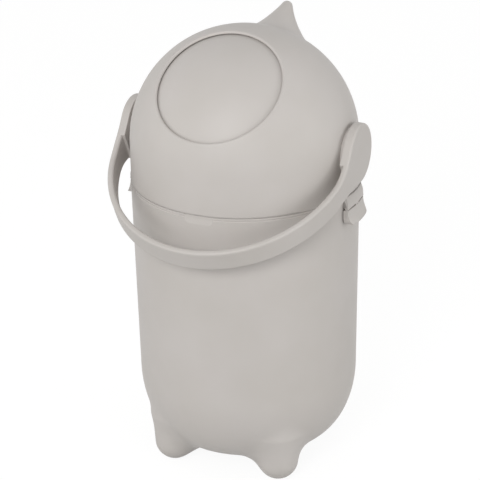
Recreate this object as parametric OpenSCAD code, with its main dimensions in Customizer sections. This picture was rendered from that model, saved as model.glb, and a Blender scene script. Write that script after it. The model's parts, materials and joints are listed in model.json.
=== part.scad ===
// Nappy bin with a turning ball drum.
// A round bin on four feet carries a domed lid. A ball drum turns inside the lid and is
// turned by the carrying handle. At rest the closed side of the drum fills the opening
// and its cup faces down, so that what lay in the cup falls into the bin.
// Origin: on the bin's axis, at the height of the floor. The front faces -Y.

/* [Bin] */
// Outside radius of the bin at its rim
rim_r = 132.5; // [122:0.5:142]
// How much narrower the bin is where the rounding of its bottom starts
bin_taper = 3.5; // [1:0.5:12]
// Height of the rim above the floor
rim_z = 347.9; // [320:0.1:400]
// Height of the underside above the floor
underside_z = 25.5; // [20:0.5:34]
// Width of the rounding round the bottom
base_round_w = 50; // [35:1:58]
// Height of the rounding round the bottom
base_round_h = 86; // [60:1:100]
// Wall of the bin
bin_wall = 3; // [2.5:0.1:4]
// Depth of the step below the rim
rim_step = 0.7; // [0.3:0.1:1]
// Height of the step below the rim
rim_step_h = 3.4; // [2:0.1:6]
// Half width of the finger recess at the front of the rim
recess_w = 20; // [12:0.5:30]
// Height of the finger recess
recess_h = 9; // [5:0.5:12]
// Depth of the finger recess
recess_d = 1.4; // [0.8:0.1:1.8]

/* [Feet] */
// Distance of the feet from the outside of the bin's wall to their middle
foot_in = 31; // [28:0.5:38]
// Angle between the front-back line and a foot
foot_angle = 43; // [36:1:50]
// Radius of the round tip of a foot
foot_tip_r = 24; // [18:0.5:27]
// Radius of a foot where it meets the bin
foot_top_r = 29; // [28:0.5:32]
// Height at which a foot has that radius
foot_top_z = 60; // [52:1:66]
// Distance of the broad root of a foot behind its tip
foot_root_back = 13; // [6:1:16]
// Radius of that round root
foot_root_r = 34; // [30:1:38]
// Height of the middle of the root above the underside
foot_root_up = 17; // [14:1:24]
// Thickness of the sole of a foot
sole_t = 8; // [7:0.5:12]
// Radius of a rubber pad
pad_r = 7; // [5:0.5:8]
// Thickness of a rubber pad
pad_t = 3; // [2.5:0.1:4]
// Height of a pad that shows below the foot
pad_proud = 1.2; // [0.8:0.1:1.5]
// Radius of the plug that holds a pad
pad_plug_r = 2.5; // [1.5:0.1:3]
// Length of the plug that holds a pad
pad_plug_l = 3; // [2:0.1:3.5]

/* [Liner ring] */
// Thickness of the liner ring
ring_t = 2.6; // [2:0.1:3]
// Height of the liner ring
ring_h = 18; // [12:1:22]
// Gap between the liner ring and the bin
ring_gap = 0.4; // [0.3:0.1:0.8]
// Depth of the liner ring's top edge below the rim
ring_drop = 2.5; // [1:0.1:5]
// Width of the ledge that carries the liner ring
ledge_w = 2.8; // [2:0.1:4]
// Height of that ledge
ledge_h = 3.5; // [2:0.1:6]

/* [Lid] */
// How much smaller the dome is than the rim, in radius
dome_in = 0.5; // [0:0.1:1.5]
// Height of the drum's axis above the rim
pivot_up = 45.5; // [43:0.5:60]
// Wall of the lid
lid_wall = 3.2; // [2.5:0.1:3.5]
// Open seam between the lid and the rim
seam_gap = 1; // [0.8:0.1:2]

/* [Peak] */
// Angle of the peak above level, towards the back
peak_elev = 42; // [36:1:50]
// Distance of the middle of the peak's tip from the dome
peak_out = 45.5; // [34:0.5:52]
// Radius of the tip
peak_tip_r = 6.8; // [5:0.1:12]
// Radius of the hollow curve from the tip down to the dome
peak_flare_r = 128; // [80:1:150]

/* [Opening] */
// Angle of the opening above level, towards the front
opening_elev = 51.1; // [46:0.1:54]
// Radius of the opening
opening_r = 73.6; // [66:0.1:76]
// Radius of the rounded lip
lip_r = 3; // [1:0.1:3]

/* [Drum] */
// Gap between the drum and the lid
drum_gap = 1.4; // [1.3:0.1:3]
// Wall of the drum
drum_wall = 3; // [2.5:0.1:4]
// Depth of the flat at each end of the drum
drum_flat = 3; // [2.5:0.1:4]
// Depth below the axis where the two halves of the drum meet
drum_split = 30; // [29:0.5:40]
// Width of the flanges that join the halves
drum_flange_w = 12; // [9:0.5:16]
// Thickness of those flanges
drum_flange_t = 4; // [3:0.5:6]
// Angle that the drum turns through
drum_turn = 140; // [125:1:145]
// Radius of the cup's mouth
mouth_r = 64; // [58:0.5:66]
// Wall of the cup
cup_wall = 2.4; // [1.5:0.1:3]
// Depth of the cup
cup_depth = 140; // [110:1:150]
// Width of the cup's flange
cup_flange_w = 8; // [6:0.5:8]
// Thickness of the cup's flange
cup_flange_t = 3; // [2:0.1:4]
// Room between the cup's flange and the wall of the drum
cup_room = 1; // [0.5:0.1:2]
// Bevel round the mouth
mouth_bevel = 4; // [2:0.5:5]

/* [Hubs] */
// Radius of the hub discs
hub_r = 35; // [32:0.5:36]
// Thickness of the hub discs
hub_t = 10.5; // [8:0.1:14]
// Radius of the bosses on the lid, behind the hub discs
boss_r = 30; // [28:0.5:31]
// How far the boss faces stand out from the widest place of the dome
boss_out = 0.4; // [0.3:0.1:4]
// Gap between a boss and its hub disc
hub_gap = 0.3; // [0.2:0.1:0.6]
// Radius of the trunnions
trunnion_r = 13; // [11:0.5:14]
// Running gap between a trunnion and its bush
run_gap = 0.06; // [0.02:0.01:0.1]
// Wall of a bush
bush_wall = 3; // [2:0.5:4]
// Radius of a trunnion's flange
trunnion_flange_r = 22; // [20:0.5:24]
// Thickness of a trunnion's flange
trunnion_flange_t = 3; // [2:0.5:4]
// Width of the square spigot that turns the trunnion
spigot_w = 12; // [9:0.5:13]
// Distance of the turning stop from the axis
stop_ring_r = 25; // [20:0.5:28]
// Radius of the turning stop
stop_r = 2; // [1.5:0.1:2.5]
// Length of the turning stop
stop_l = 2.4; // [1.5:0.1:3]
// Play round the turning stop
stop_play = 0.4; // [0.3:0.1:0.8]

/* [Handle] */
// Angle of the resting handle below level
handle_drop = 26.8; // [18:0.1:30]
// Distance of the handle's front from the dome, to its outside
handle_out = 55.7; // [44:0.1:68]
// Length of the straight arms, from the axis
arm_l = 38; // [36:0.5:50]
// Width of the band
band_w = 27.2; // [20:0.2:34]
// Thickness of the band
band_t = 7.1; // [6:0.1:8]
// Distance from the axis at which the arms reach that width
neck_l = 62; // [50:1:110]

/* [Clips] */
// Half width of a clip
clip_w = 25; // [16:0.5:27]
// How far a clip stands out from the dome at its hinge
clip_out = 6.6; // [6:0.1:12]
// Depth of the hinge below the rim
clip_pin_drop = 13.9; // [12:0.1:18]
// Depth of a clip's pin behind its outside
clip_pin_in = 3.8; // [3.4:0.1:4]
// Radius of a clip's pin
clip_pin_r = 1; // [0.8:0.1:1.2]
// Radius of the lid's hinge barrels
barrel_r = 2.4; // [2.2:0.1:3.4]
// Half width of a clip's own barrel, in the middle
knuckle_w = 3.5; // [2.5:0.1:6]
// Angle that a clip swings out
clip_swing = 25; // [20:1:40]
// Length of a lever below its pin
lever_l = 20.5; // [16:0.5:26]
// How far a lever's lower lip stands out
lever_flare = 5; // [3:0.1:7]
// Thickness of a lever
lever_t = 2.6; // [2:0.1:3.2]
// Working gap of a clip
clip_gap = 0.3; // [0.2:0.05:0.5]
// Gap between a clip and the bin
clip_clear = 0.5; // [0.4:0.1:1]
// How far the catch stands out from the bin
catch_d = 1; // [0.6:0.1:1.2]

/* [Seals] */
// Thickness of the seal round the opening
wiper_t = 0.8; // [0.6:0.1:0.8]
// Gap left between a seal and the drum
seal_gap = 0.3; // [0.2:0.1:0.6]
// Thickness of the seal round the drum's lower half
lower_seal_t = 2.5; // [1.5:0.1:3]
// Thickness of the gasket between lid and rim
gasket_t = 0.8; // [0.5:0.1:0.8]
// Height of the collar below the lid
collar_h = 14; // [12:0.5:17]
// Wall of the collar
collar_t = 2.6; // [2:0.1:3]
// Thickness of the collar's flange
collar_flange_t = 4; // [3:0.1:5]

/* [Screws] */
// Radius of a screw's shank
screw_r = 1.5; // [1:0.1:1.7]
// Radius of a screw's head
screw_head_r = 2.8; // [2.4:0.1:3.4]
// Height of a screw's head
screw_head_h = 1.8; // [1.2:0.1:2.2]

/* [Hidden] */
$fn = 96;
cut = 1;                                   // how far a cut runs past the face it opens
tiny = 0.02;                               // play between pieces that are fixed together
seat_gap = 0.3;                            // layer of glue behind the seal round the opening
shell_tone = [0.757, 0.737, 0.714];
inner_tone = [0.80, 0.79, 0.77];
rubber_tone = [0.36, 0.35, 0.34];
steel_tone = [0.72, 0.73, 0.74];

base_r = rim_r - bin_taper;
foot_ring_r = base_r - foot_in;
dome_r = rim_r - dome_in;
peak_reach = dome_r + peak_out;
boss_x = dome_r + boss_out;
handle_reach = dome_r + handle_out;
clip_r = dome_r + clip_out;
clip_pin_x = clip_r - clip_pin_in;
pivot_z = rim_z + pivot_up;
lid_z = rim_z + seam_gap;
collar_z = lid_z;                          // underside of the collar's flange
lid_in_r = dome_r - lid_wall;
drum_r = lid_in_r - drum_gap;
drum_in_r = drum_r - drum_wall;
flat_x = drum_r - drum_flat;
plate_x = flat_x - drum_wall;
hub_x = boss_x + hub_gap;
face_x = hub_x + hub_t;
band_x = face_x - band_t;                  // inner face of the handle's arms
round_z = underside_z + base_round_h;
rim_in_r = rim_r - bin_wall;
ring_top_z = rim_z - ring_drop;
ring_z = ring_top_z - ring_h;
ring_r = wall_r(ring_z) - bin_wall - ring_gap;
clip_pin_z = rim_z - clip_pin_drop;
lever_z = clip_pin_z - lever_l;
skirt_in_r = rim_r + clip_clear;
collar_r = ring_r - ring_t - 0.8;
seal_z = rim_z - collar_h + 3;
bush_r = trunnion_r + run_gap + bush_wall;
cup_r = mouth_r - 0.4;
ledge_r = cup_r + cup_flange_w + cup_room;
ledge_drop = sqrt(pow(drum_in_r, 2) - pow(ledge_r, 2));
mouth_drop = sqrt(pow(drum_r, 2) - pow(mouth_r, 2));
cup_end = ledge_drop - cup_depth;          // depth of the cup's closed end below the axis
cup_corner = 8;
wiper_r = lid_in_r - seat_gap;
knuckle_r = clip_pin_in - 0.1;
catch_z = lever_z + 6.5;                   // where the catch ribs stand out furthest
hook_r = wall_r(catch_z) + catch_d + clip_gap + 0.2;
lid_screw_r = 1.2;
lid_boss_r = 2.9;
lid_boss_h = 3.6;
lid_screw_ring = lid_in_r - lid_boss_r + 0.3;
split_in_r = sqrt(pow(drum_in_r, 2) - pow(drum_split, 2));
drum_screw_ring = split_in_r - drum_flange_w / 2 - 0.5;
far = 4 * dome_r;                          // longer than anything that it cuts
stop_angle = 160;                          // where the stop stands, from level front over the top

function drum_ring_r(z) = sqrt(pow(drum_r, 2) - pow(z - pivot_z, 2));
function wall_r(z) = rim_r - (rim_r - base_r) * (rim_z - z) / (rim_z - round_z);
// points of an arc: middle, radius, first and last angle, number of steps
function arc(m, r, a, b, n) = [for (i = [0:n]) m + r * [cos(a + (b - a) * i / n), sin(a + (b - a) * i / n)]];

// ---------------------------------------------------------------- bin

// Half section of the bin, drawn smaller by `inset` for its inside
module bin_section(inset) {
    floor_r = base_r - base_round_w;
    corner = [for (i = [0:16])
        [floor_r + (base_round_w - inset) * sin(i * 90 / 16),
         round_z - (base_round_h - inset) * cos(i * 90 / 16)]];
    polygon(concat([[0, underside_z + inset]], corner,
        [[rim_r - inset, rim_z + (inset > 0 ? cut : 0)], [0, rim_z + (inset > 0 ? cut : 0)]]));
}

// One foot, a round tip that widens upwards, drawn smaller by `inset` for its inside
module foot(inset, bottom) {
    tip = foot_tip_r - inset;
    rotate_extrude()
        polygon(concat([[0, bottom]], arc([0, bottom + tip], tip, -80, -12, 10),
            [[foot_top_r - inset, foot_top_z], [foot_top_r - inset - 6, foot_top_z + 18],
             [0, foot_top_z + 18]]));
    // broad root towards the middle of the bin
    translate([-foot_root_back, 0, underside_z + foot_root_up]) sphere(r = foot_root_r - inset);
}

module at_feet() {
    for (a = [90 - foot_angle, 90 + foot_angle, 270 - foot_angle, 270 + foot_angle])
        rotate(a) translate([foot_ring_r, 0, 0]) children();
}

module catch_rib() {
    out = wall_r(catch_z);
    intersection() {
        rotate(90) rotate_extrude()
            polygon([[out - 1, catch_z - 2], [out + catch_d * 0.4, catch_z - 0.6],
                     [out + catch_d, catch_z], [out + catch_d, catch_z + 1], [out - 1, catch_z + 3.5]]);
        cube([4 * rim_r, 1.5 * clip_w, 4 * rim_z], center = true);
    }
}

// Recess for the fingers at the front of the rim, with round lower corners
module finger_recess() {
    corner = recess_h / 2;
    difference() {
        translate([0, 0, rim_z - recess_h]) rotate([90, 0, 0]) linear_extrude(rim_r + cut) {
            translate([-recess_w + corner, 0]) square([2 * (recess_w - corner), recess_h + cut]);
            translate([-recess_w, corner]) square([2 * recess_w, corner + cut]);
            for (s = [-1, 1]) translate([s * (recess_w - corner), corner]) circle(r = corner);
        }
        cylinder(r = rim_r - recess_d, h = 2 * rim_z);
    }
}

module bin_body() {
    color(shell_tone)
    difference() {
        union() {
            rotate(90) rotate_extrude() bin_section(0);
            at_feet() foot(0, 0);
            catch_rib();
        }
        difference() {
            union() {
                rotate(90) rotate_extrude() bin_section(bin_wall);
                at_feet() foot(bin_wall, sole_t);
            }
            // ledge that carries the liner ring
            rotate(90) rotate_extrude()
                polygon([[rim_in_r - ledge_w, ring_z], [rim_r, ring_z], [rim_r, ring_z - ledge_h - 3],
                         [rim_in_r - 0.2, ring_z - ledge_h - ledge_w], [rim_in_r - ledge_w, ring_z - ledge_h]]);
        }
        // step below the rim
        difference() {
            translate([0, 0, rim_z - rim_step_h])
                cylinder(r = rim_r + cut, h = rim_step_h + cut);
            translate([0, 0, rim_z - rim_step_h - cut])
                cylinder(r = rim_r - rim_step, h = rim_step_h + 3 * cut);
        }
        finger_recess();
        // seats of the rubber pads
        at_feet() translate([0, 0, -cut]) cylinder(r = foot_tip_r, h = pad_proud + cut);
        at_feet() translate([0, 0, -cut]) cylinder(r = pad_r + tiny, h = pad_t + cut);
        at_feet() translate([0, 0, -cut])
            cylinder(r = pad_plug_r + tiny, h = pad_t + pad_plug_l + cut + tiny);
    }
}

module foot_pads() {
    color(rubber_tone)
    at_feet() {
        rotate_extrude()
            polygon([[0, 0], [pad_r - 0.6, 0], [pad_r, 0.6], [pad_r, pad_t], [pad_plug_r, pad_t],
                     [pad_plug_r, pad_t + pad_plug_l - 0.5], [pad_plug_r - 0.5, pad_t + pad_plug_l],
                     [0, pad_t + pad_plug_l]]);
    }
}

// Ring that the top of the liner bag is folded over
module liner_ring() {
    color(inner_tone)
    rotate_extrude()
        polygon([[ring_r, ring_z], [ring_r, ring_top_z - 0.8], [ring_r - 0.8, ring_top_z],
                 [ring_r - ring_t + 0.4, ring_top_z], [ring_r - ring_t, ring_top_z - 0.8],
                 [ring_r - ring_t, ring_z + 2.5], [ring_r - ring_t - 3.5, ring_z + 2.5],
                 [ring_r - ring_t - 4, ring_z + 2], [ring_r - ring_t - 4, ring_z]]);
}

// ---------------------------------------------------------------- lid

// Half section of the peak about its own axis, drawn smaller by `inset` for its inside
module peak_section(inset) {
    to_dome = dome_r + peak_flare_r;
    to_tip = peak_tip_r + peak_flare_r;
    mid_y = (pow(to_dome, 2) - pow(to_tip, 2) + pow(peak_reach, 2)) / (2 * peak_reach);
    mid_x = sqrt(pow(to_dome, 2) - pow(mid_y, 2));
    tip_a = atan2(mid_y - peak_reach, mid_x);
    dome_a = atan2(mid_y, mid_x);
    root = dome_r - inset - 1;
    polygon(concat([[0, peak_reach + peak_tip_r - inset]],
        arc([0, peak_reach], peak_tip_r - inset, 84, tip_a, 8),
        arc([mid_x, mid_y], peak_flare_r + inset, 180 + tip_a, 180 + dome_a, 20),
        [[root * cos(dome_a), root * sin(dome_a)], [0, root * 0.6]]));
}

module at_pivot() {
    translate([0, 0, pivot_z]) children();
}

// Turns a shape made along +Z to face out of the opening, or along the peak
module along_opening() {
    at_pivot() rotate([90 - opening_elev, 0, 0]) children();
}

module along_peak() {
    at_pivot() rotate([peak_elev - 90, 0, 0]) children();
}

// Both ends of the drum's axis, for a shape made along +X
module each_end() {
    at_pivot() children();
    at_pivot() mirror([1, 0, 0]) children();
}

// What the opening takes out of the dome, with a rounded lip
module opening_cut() {
    edge = asin(opening_r / dome_r);
    lip = [for (i = [0:8])
        let (r = dome_r - lip_r + lip_r * sin(i * 90 / 8),
             a = edge + (1 - cos(i * 90 / 8)) * lip_r / dome_r * 180 / PI)
        [r * sin(a), r * cos(a)]];
    inner = dome_r * 0.6;
    outer = dome_r + 20;
    last = edge + lip_r / dome_r * 180 / PI;
    rotate_extrude()
        polygon(concat([[0, inner * cos(edge)], [inner * sin(edge), inner * cos(edge)]], lip,
            [[outer * sin(last), outer * cos(last)], [0, outer]]));
}

// A slice of rings about the bin's axis, kept to one clip's width
module clip_slice(half_w) {
    intersection() {
        rotate_extrude() children();
        translate([0, -half_w, 0]) cube([2 * dome_r, 2 * half_w, 2 * pivot_z]);
    }
}

// Round bar along Y at the clip's pin
module pin_bar(r, half_w) {
    translate([clip_pin_x, 0, clip_pin_z]) rotate([90, 0, 0]) cylinder(r = r, h = 2 * half_w, center = true);
}

// Pad on the lid that carries one clip, on the +X side
module clip_pad() {
    difference() {
        union() {
            clip_slice(clip_w)
                polygon([[lid_in_r + 1, lid_z], [skirt_in_r, lid_z], [skirt_in_r, clip_pin_z],
                         [clip_r, clip_pin_z], [clip_r, clip_pin_z + 5], [clip_r - 0.8, clip_pin_z + 10],
                         [clip_r - 2.4, clip_pin_z + 15.5], [dome_r + 0.6, clip_pin_z + 22],
                         [lid_in_r + 1, clip_pin_z + 25]]);
            intersection() {
                pin_bar(barrel_r, clip_w);
                clip_slice(clip_w)
                    polygon([[skirt_in_r, 0], [clip_r, 0],
                             [clip_r, clip_pin_z + 1], [skirt_in_r, clip_pin_z + 1]]);
            }
        }
        pin_bar(clip_pin_r + tiny, clip_w - 1);
        pin_bar(knuckle_r + clip_gap, knuckle_w + clip_gap);
        // room for the middle barrel, down to the open lower edge
        translate([clip_pin_x - 2 * knuckle_r, -knuckle_w - clip_gap, clip_pin_z - 2 * knuckle_r])
            cube([4 * knuckle_r, 2 * (knuckle_w + clip_gap), 2 * knuckle_r]);
    }
}

module at_lid_screws() {
    for (a = [30:60:330]) rotate(a) translate([lid_screw_ring, 0, 0]) children();
}

module lid_shell() {
    color(shell_tone)
    difference() {
        union() {
            // dome and skirt
            difference() {
                union() {
                    at_pivot() sphere(r = dome_r, $fn = 128);
                    translate([0, 0, lid_z]) cylinder(r = dome_r, h = pivot_up - seam_gap);
                    along_peak() rotate_extrude() peak_section(0);
                    for (s = [0, 1]) mirror([s, 0, 0]) clip_pad();
                }
                at_pivot() sphere(r = lid_in_r, $fn = 128);
                translate([0, 0, lid_z - cut]) cylinder(r = lid_in_r, h = pivot_up - seam_gap + cut);
                along_peak() rotate_extrude() peak_section(lid_wall);
                // everything of the dome below the seam, inside the clip pads
                translate([0, 0, lid_z - 2 * dome_r]) cylinder(r = skirt_in_r, h = 2 * dome_r);
            }
            // bosses behind the hubs, with the turning stops
            each_end() {
                intersection() {
                    rotate([0, 90, 0]) cylinder(r = boss_r, h = boss_x);
                    difference() {
                        cube(4 * dome_r, center = true);
                        sphere(r = lid_in_r, $fn = 128);
                        translate([0, 0, -boss_r - cut]) cylinder(r = lid_in_r, h = boss_r + cut);
                    }
                }
                rotate([-stop_angle, 0, 0]) translate([boss_x - cut, -stop_ring_r, 0])
                    rotate([0, 90, 0]) cylinder(r = stop_r, h = stop_l + cut, $fn = 32);
            }
            // bosses for the collar's screws
            at_lid_screws() translate([0, 0, collar_z + collar_flange_t])
                cylinder(r = lid_boss_r, h = lid_boss_h, $fn = 32);
        }
        along_opening() opening_cut();
        each_end() rotate([0, 90, 0]) cylinder(r = bush_r, h = 2 * dome_r);
        at_lid_screws() translate([0, 0, lid_z]) cylinder(r = lid_screw_r, h = collar_flange_t + 3.2, $fn = 32);
    }
}

// Wiping ring stuck to the inside of the dome round the opening
module opening_seal() {
    edge = asin(opening_r / dome_r);
    color(rubber_tone)
    along_opening() rotate_extrude()
        polygon(concat(arc([0, 0], wiper_r, 90 - edge - 1.2, 90 - edge - 4.2, 6),
            arc([0, 0], wiper_r - wiper_t, 90 - edge - 4.2, 90 - edge - 1.2, 6)));
}

// Collar under the lid: it closes the lid round the drum and centres it in the liner ring
module lid_collar() {
    flange_r = drum_ring_r(collar_z + collar_flange_t) + 1;
    color(inner_tone)
    difference() {
        rotate_extrude()
            polygon([[collar_r - collar_t, seal_z - 2.5], [collar_r - 0.6, seal_z - 2.5],
                     [collar_r, seal_z - 1.5], [collar_r, collar_z], [lid_in_r - tiny, collar_z],
                     [lid_in_r - tiny, collar_z + collar_flange_t], [flange_r, collar_z + collar_flange_t],
                     [flange_r - 0.8, collar_z + 1], [collar_r - collar_t, collar_z - 1]]);
        translate([0, 0, seal_z]) cylinder(r = collar_r - collar_t + 1, h = lower_seal_t);
        at_lid_screws() translate([0, 0, collar_z - cut]) cylinder(r = lid_screw_r + 0.1, h = 10, $fn = 32);
        at_lid_screws() translate([0, 0, collar_z - cut])
            cylinder(r = lid_boss_r - 0.5, h = screw_head_h + cut, $fn = 32);
    }
}

module lower_seal() {
    top_z = seal_z + lower_seal_t;
    out = collar_r - collar_t + 1 - tiny;
    gap = seal_gap + 0.2;
    color(rubber_tone)
    rotate_extrude()
        polygon([[drum_ring_r(seal_z) + gap, seal_z], [out, seal_z], [out, top_z],
                 [drum_ring_r(top_z) + gap, top_z]]);
}

// Flat gasket under the collar's flange, above the rim
module rim_gasket() {
    color(rubber_tone)
    translate([0, 0, collar_z - gasket_t])
        difference() {
            cylinder(r = rim_r - bin_wall / 2, h = gasket_t);
            translate([0, 0, -cut]) cylinder(r = collar_r + tiny, h = gasket_t + 2 * cut);
        }
}

module lid_screws() {
    color(steel_tone)
    at_lid_screws() translate([0, 0, collar_z])
        difference() {
            union() {
                cylinder(r = lid_screw_r - tiny, h = collar_flange_t + 2.4, $fn = 32);
                cylinder(r = lid_boss_r - 0.6, h = screw_head_h - tiny, $fn = 32);
            }
            for (a = [0, 90]) rotate(a) cube([2.6, 0.7, 1.4], center = true);
        }
}

module bush() {
    color(inner_tone)
    translate([lid_in_r - 1, 0, 0]) rotate([0, 90, 0])
        difference() {
            cylinder(r = bush_r - tiny, h = boss_x - lid_in_r + 1);
            translate([0, 0, -cut]) cylinder(r = trunnion_r + run_gap, h = boss_x);
        }
}

module bush_right() { at_pivot() bush(); }
module bush_left() { at_pivot() mirror([1, 0, 0]) bush(); }

// ---------------------------------------------------------------- drum

module drum_ball() {
    intersection() {
        at_pivot() sphere(r = drum_r, $fn = 128);
        at_pivot() cube([2 * flat_x, 3 * drum_r, 3 * drum_r], center = true);
    }
}

module at_drum_screws() {
    for (a = [0:60:300]) rotate(a) translate([drum_screw_ring, 0, pivot_z - drum_split]) children();
}

module at_trunnion_screws() {
    for (a = [30:120:270])
        rotate([a, 0, 0]) translate([0, (trunnion_r + trunnion_flange_r) / 2, 0]) rotate([0, 90, 0]) children();
}

module drum_flange_hole() {
    translate([0, 0, -cut]) cylinder(r = split_in_r - drum_flange_w, h = drum_flange_t + 2 * cut);
}

// Closed half of the drum, with the flats that carry the trunnions
module drum_upper() {
    color(shell_tone)
    difference() {
        union() {
            difference() {
                drum_ball();
                at_pivot() intersection() {
                    sphere(r = drum_in_r, $fn = 128);
                    cube([2 * plate_x, 3 * drum_r, 3 * drum_r], center = true);
                }
            }
            translate([0, 0, pivot_z - drum_split])
                difference() {
                    cylinder(r = split_in_r + 0.5, h = drum_flange_t);
                    drum_flange_hole();
                }
        }
        translate([0, 0, pivot_z - drum_split - 2 * drum_r]) cylinder(r = 2 * drum_r, h = 2 * drum_r);
        each_end() rotate([0, 90, 0]) cylinder(r = trunnion_r + tiny, h = 2 * drum_r);
        each_end() translate([plate_x - cut, 0, 0]) at_trunnion_screws()
            cylinder(r = screw_r + tiny, h = cut + 2.5, $fn = 32);
        at_drum_screws() translate([0, 0, -cut])
            cylinder(r = screw_r + tiny, h = drum_flange_t + cut - 0.6, $fn = 32);
    }
}

// Open half of the drum, with the mouth and the ledge that carries the cup
module drum_lower() {
    color(shell_tone)
    difference() {
        union() {
            difference() {
                drum_ball();
                intersection() {
                    at_pivot() sphere(r = drum_in_r, $fn = 128);
                    translate([0, 0, pivot_z - ledge_drop]) cylinder(r = 2 * drum_r, h = 2 * drum_r);
                }
            }
            translate([0, 0, pivot_z - drum_split - drum_flange_t])
                difference() {
                    cylinder(r = split_in_r + 0.5, h = drum_flange_t);
                    drum_flange_hole();
                }
        }
        translate([0, 0, pivot_z - drum_split]) cylinder(r = 2 * drum_r, h = 2 * drum_r);
        translate([0, 0, pivot_z - 2 * drum_r]) cylinder(r = mouth_r, h = 2 * drum_r);
        // bevel round the mouth
        translate([0, 0, pivot_z - mouth_drop - cut])
            cylinder(r1 = mouth_r + mouth_bevel, r2 = mouth_r, h = mouth_bevel);
        at_drum_screws() translate([0, 0, -drum_flange_t - cut])
            cylinder(r = screw_r + 0.2, h = drum_flange_t + 2 * cut, $fn = 32);
        at_cup_screws() translate([0, 0, -4]) cylinder(r = screw_r + tiny, h = 6, $fn = 32);
    }
}

module at_cup_screws() {
    for (a = [45:90:315])
        rotate(a) translate([cup_r + cup_flange_w / 2, 0, pivot_z - ledge_drop]) children();
}

// Cup that holds one rolled nappy, open downwards at rest
module cup_liner() {
    top_z = pivot_z - cup_end;
    foot_z = pivot_z - ledge_drop - 2 * cup_flange_t;
    flat_r = cup_r - cup_corner;
    color(inner_tone)
    difference() {
        union() {
            translate([0, 0, foot_z]) cylinder(r = cup_r, h = top_z - cup_corner - foot_z);
            translate([0, 0, pivot_z - ledge_drop]) cylinder(r = cup_r + cup_flange_w, h = cup_flange_t);
            translate([0, 0, top_z - cup_corner]) cylinder(r1 = cup_r, r2 = flat_r, h = cup_corner);
        }
        translate([0, 0, foot_z - cut])
            cylinder(r = cup_r - cup_wall, h = top_z - cup_corner - foot_z + cut);
        translate([0, 0, top_z - cup_corner - 0.01])
            cylinder(r1 = cup_r - cup_wall, r2 = flat_r, h = cup_corner - cup_wall);
        at_cup_screws() translate([0, 0, -cut])
            cylinder(r = screw_r + 0.2, h = cup_flange_t + 2 * cut, $fn = 32);
    }
}

// A cross-head screw that points along +Z, its head below the origin
module screw(length) {
    color(steel_tone)
    difference() {
        union() {
            cylinder(r = screw_r - tiny, h = length, $fn = 32);
            translate([0, 0, -screw_head_h])
                cylinder(r1 = screw_head_r - 0.6, r2 = screw_head_r, h = screw_head_h, $fn = 32);
        }
        for (a = [0, 90]) rotate(a) translate([0, 0, -screw_head_h]) cube([3.4, 0.8, 1.6], center = true);
    }
}

module drum_screws() {
    at_drum_screws() translate([0, 0, -drum_flange_t]) screw(2 * drum_flange_t - 0.8);
}

module cup_screws() {
    at_cup_screws() translate([0, 0, cup_flange_t]) mirror([0, 0, 1]) screw(cup_flange_t + 3.6);
}

module trunnion() {
    color(inner_tone)
    difference() {
        union() {
            translate([plate_x - trunnion_flange_t, 0, 0]) rotate([0, 90, 0])
                cylinder(r = trunnion_flange_r, h = trunnion_flange_t);
            translate([plate_x - cut, 0, 0]) rotate([0, 90, 0])
                cylinder(r = trunnion_r, h = boss_x - plate_x + cut);
        }
        translate([plate_x, 0, 0]) cube([dome_r, spigot_w, spigot_w], center = true);
        translate([plate_x - trunnion_flange_t - cut, 0, 0]) at_trunnion_screws()
            cylinder(r = screw_r + 0.1, h = trunnion_flange_t + 2 * cut, $fn = 32);
    }
}

module trunnion_right() { at_pivot() trunnion(); }
module trunnion_left() { at_pivot() mirror([1, 0, 0]) trunnion(); }

module trunnion_screws() {
    each_end() translate([plate_x - trunnion_flange_t, 0, 0]) at_trunnion_screws()
        screw(trunnion_flange_t + 2.3);
}

// ---------------------------------------------------------------- handle

// Outline of the band seen from above, drawn smaller by `inset` for its inside
module band_outline(inset) {
    curve = [for (i = [0:48])
        [(face_x - inset) * cos(i * 180 / 48),
         -arm_l - (handle_reach - arm_l - inset) * sin(i * 180 / 48)]];
    polygon(concat([[-face_x + inset, hub_r + cut], [face_x - inset, hub_r + cut]], curve));
}

// Side view of the arms: a round hub that narrows to the band
module arm_side() {
    half = band_w / 2;
    lean = atan2(hub_r - half, neck_l);
    touch = hub_r * [sin(lean), cos(lean)];
    polygon([[0, 0], [0, touch[1]], [-touch[0], touch[1]], [-neck_l, half], [-handle_reach - cut, half],
             [-handle_reach - cut, -half], [-neck_l, -half], [-touch[0], -touch[1]], [0, -touch[1]]]);
}

// Curved slot in the hub that the turning stop runs in
module stop_slot() {
    side = asin((stop_r + stop_play) / stop_ring_r);
    first = stop_angle - drum_turn - side;
    last = stop_angle + side;
    translate([hub_x - cut, 0, 0]) rotate([90, 0, 90])
        linear_extrude(stop_l + hub_gap + cut)
            polygon(concat(
                arc([0, 0], stop_ring_r + stop_r + stop_play, 180 - first, 180 - last, 36),
                arc([0, 0], stop_ring_r - stop_r - stop_play, 180 - last, 180 - first, 36)));
}

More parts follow.
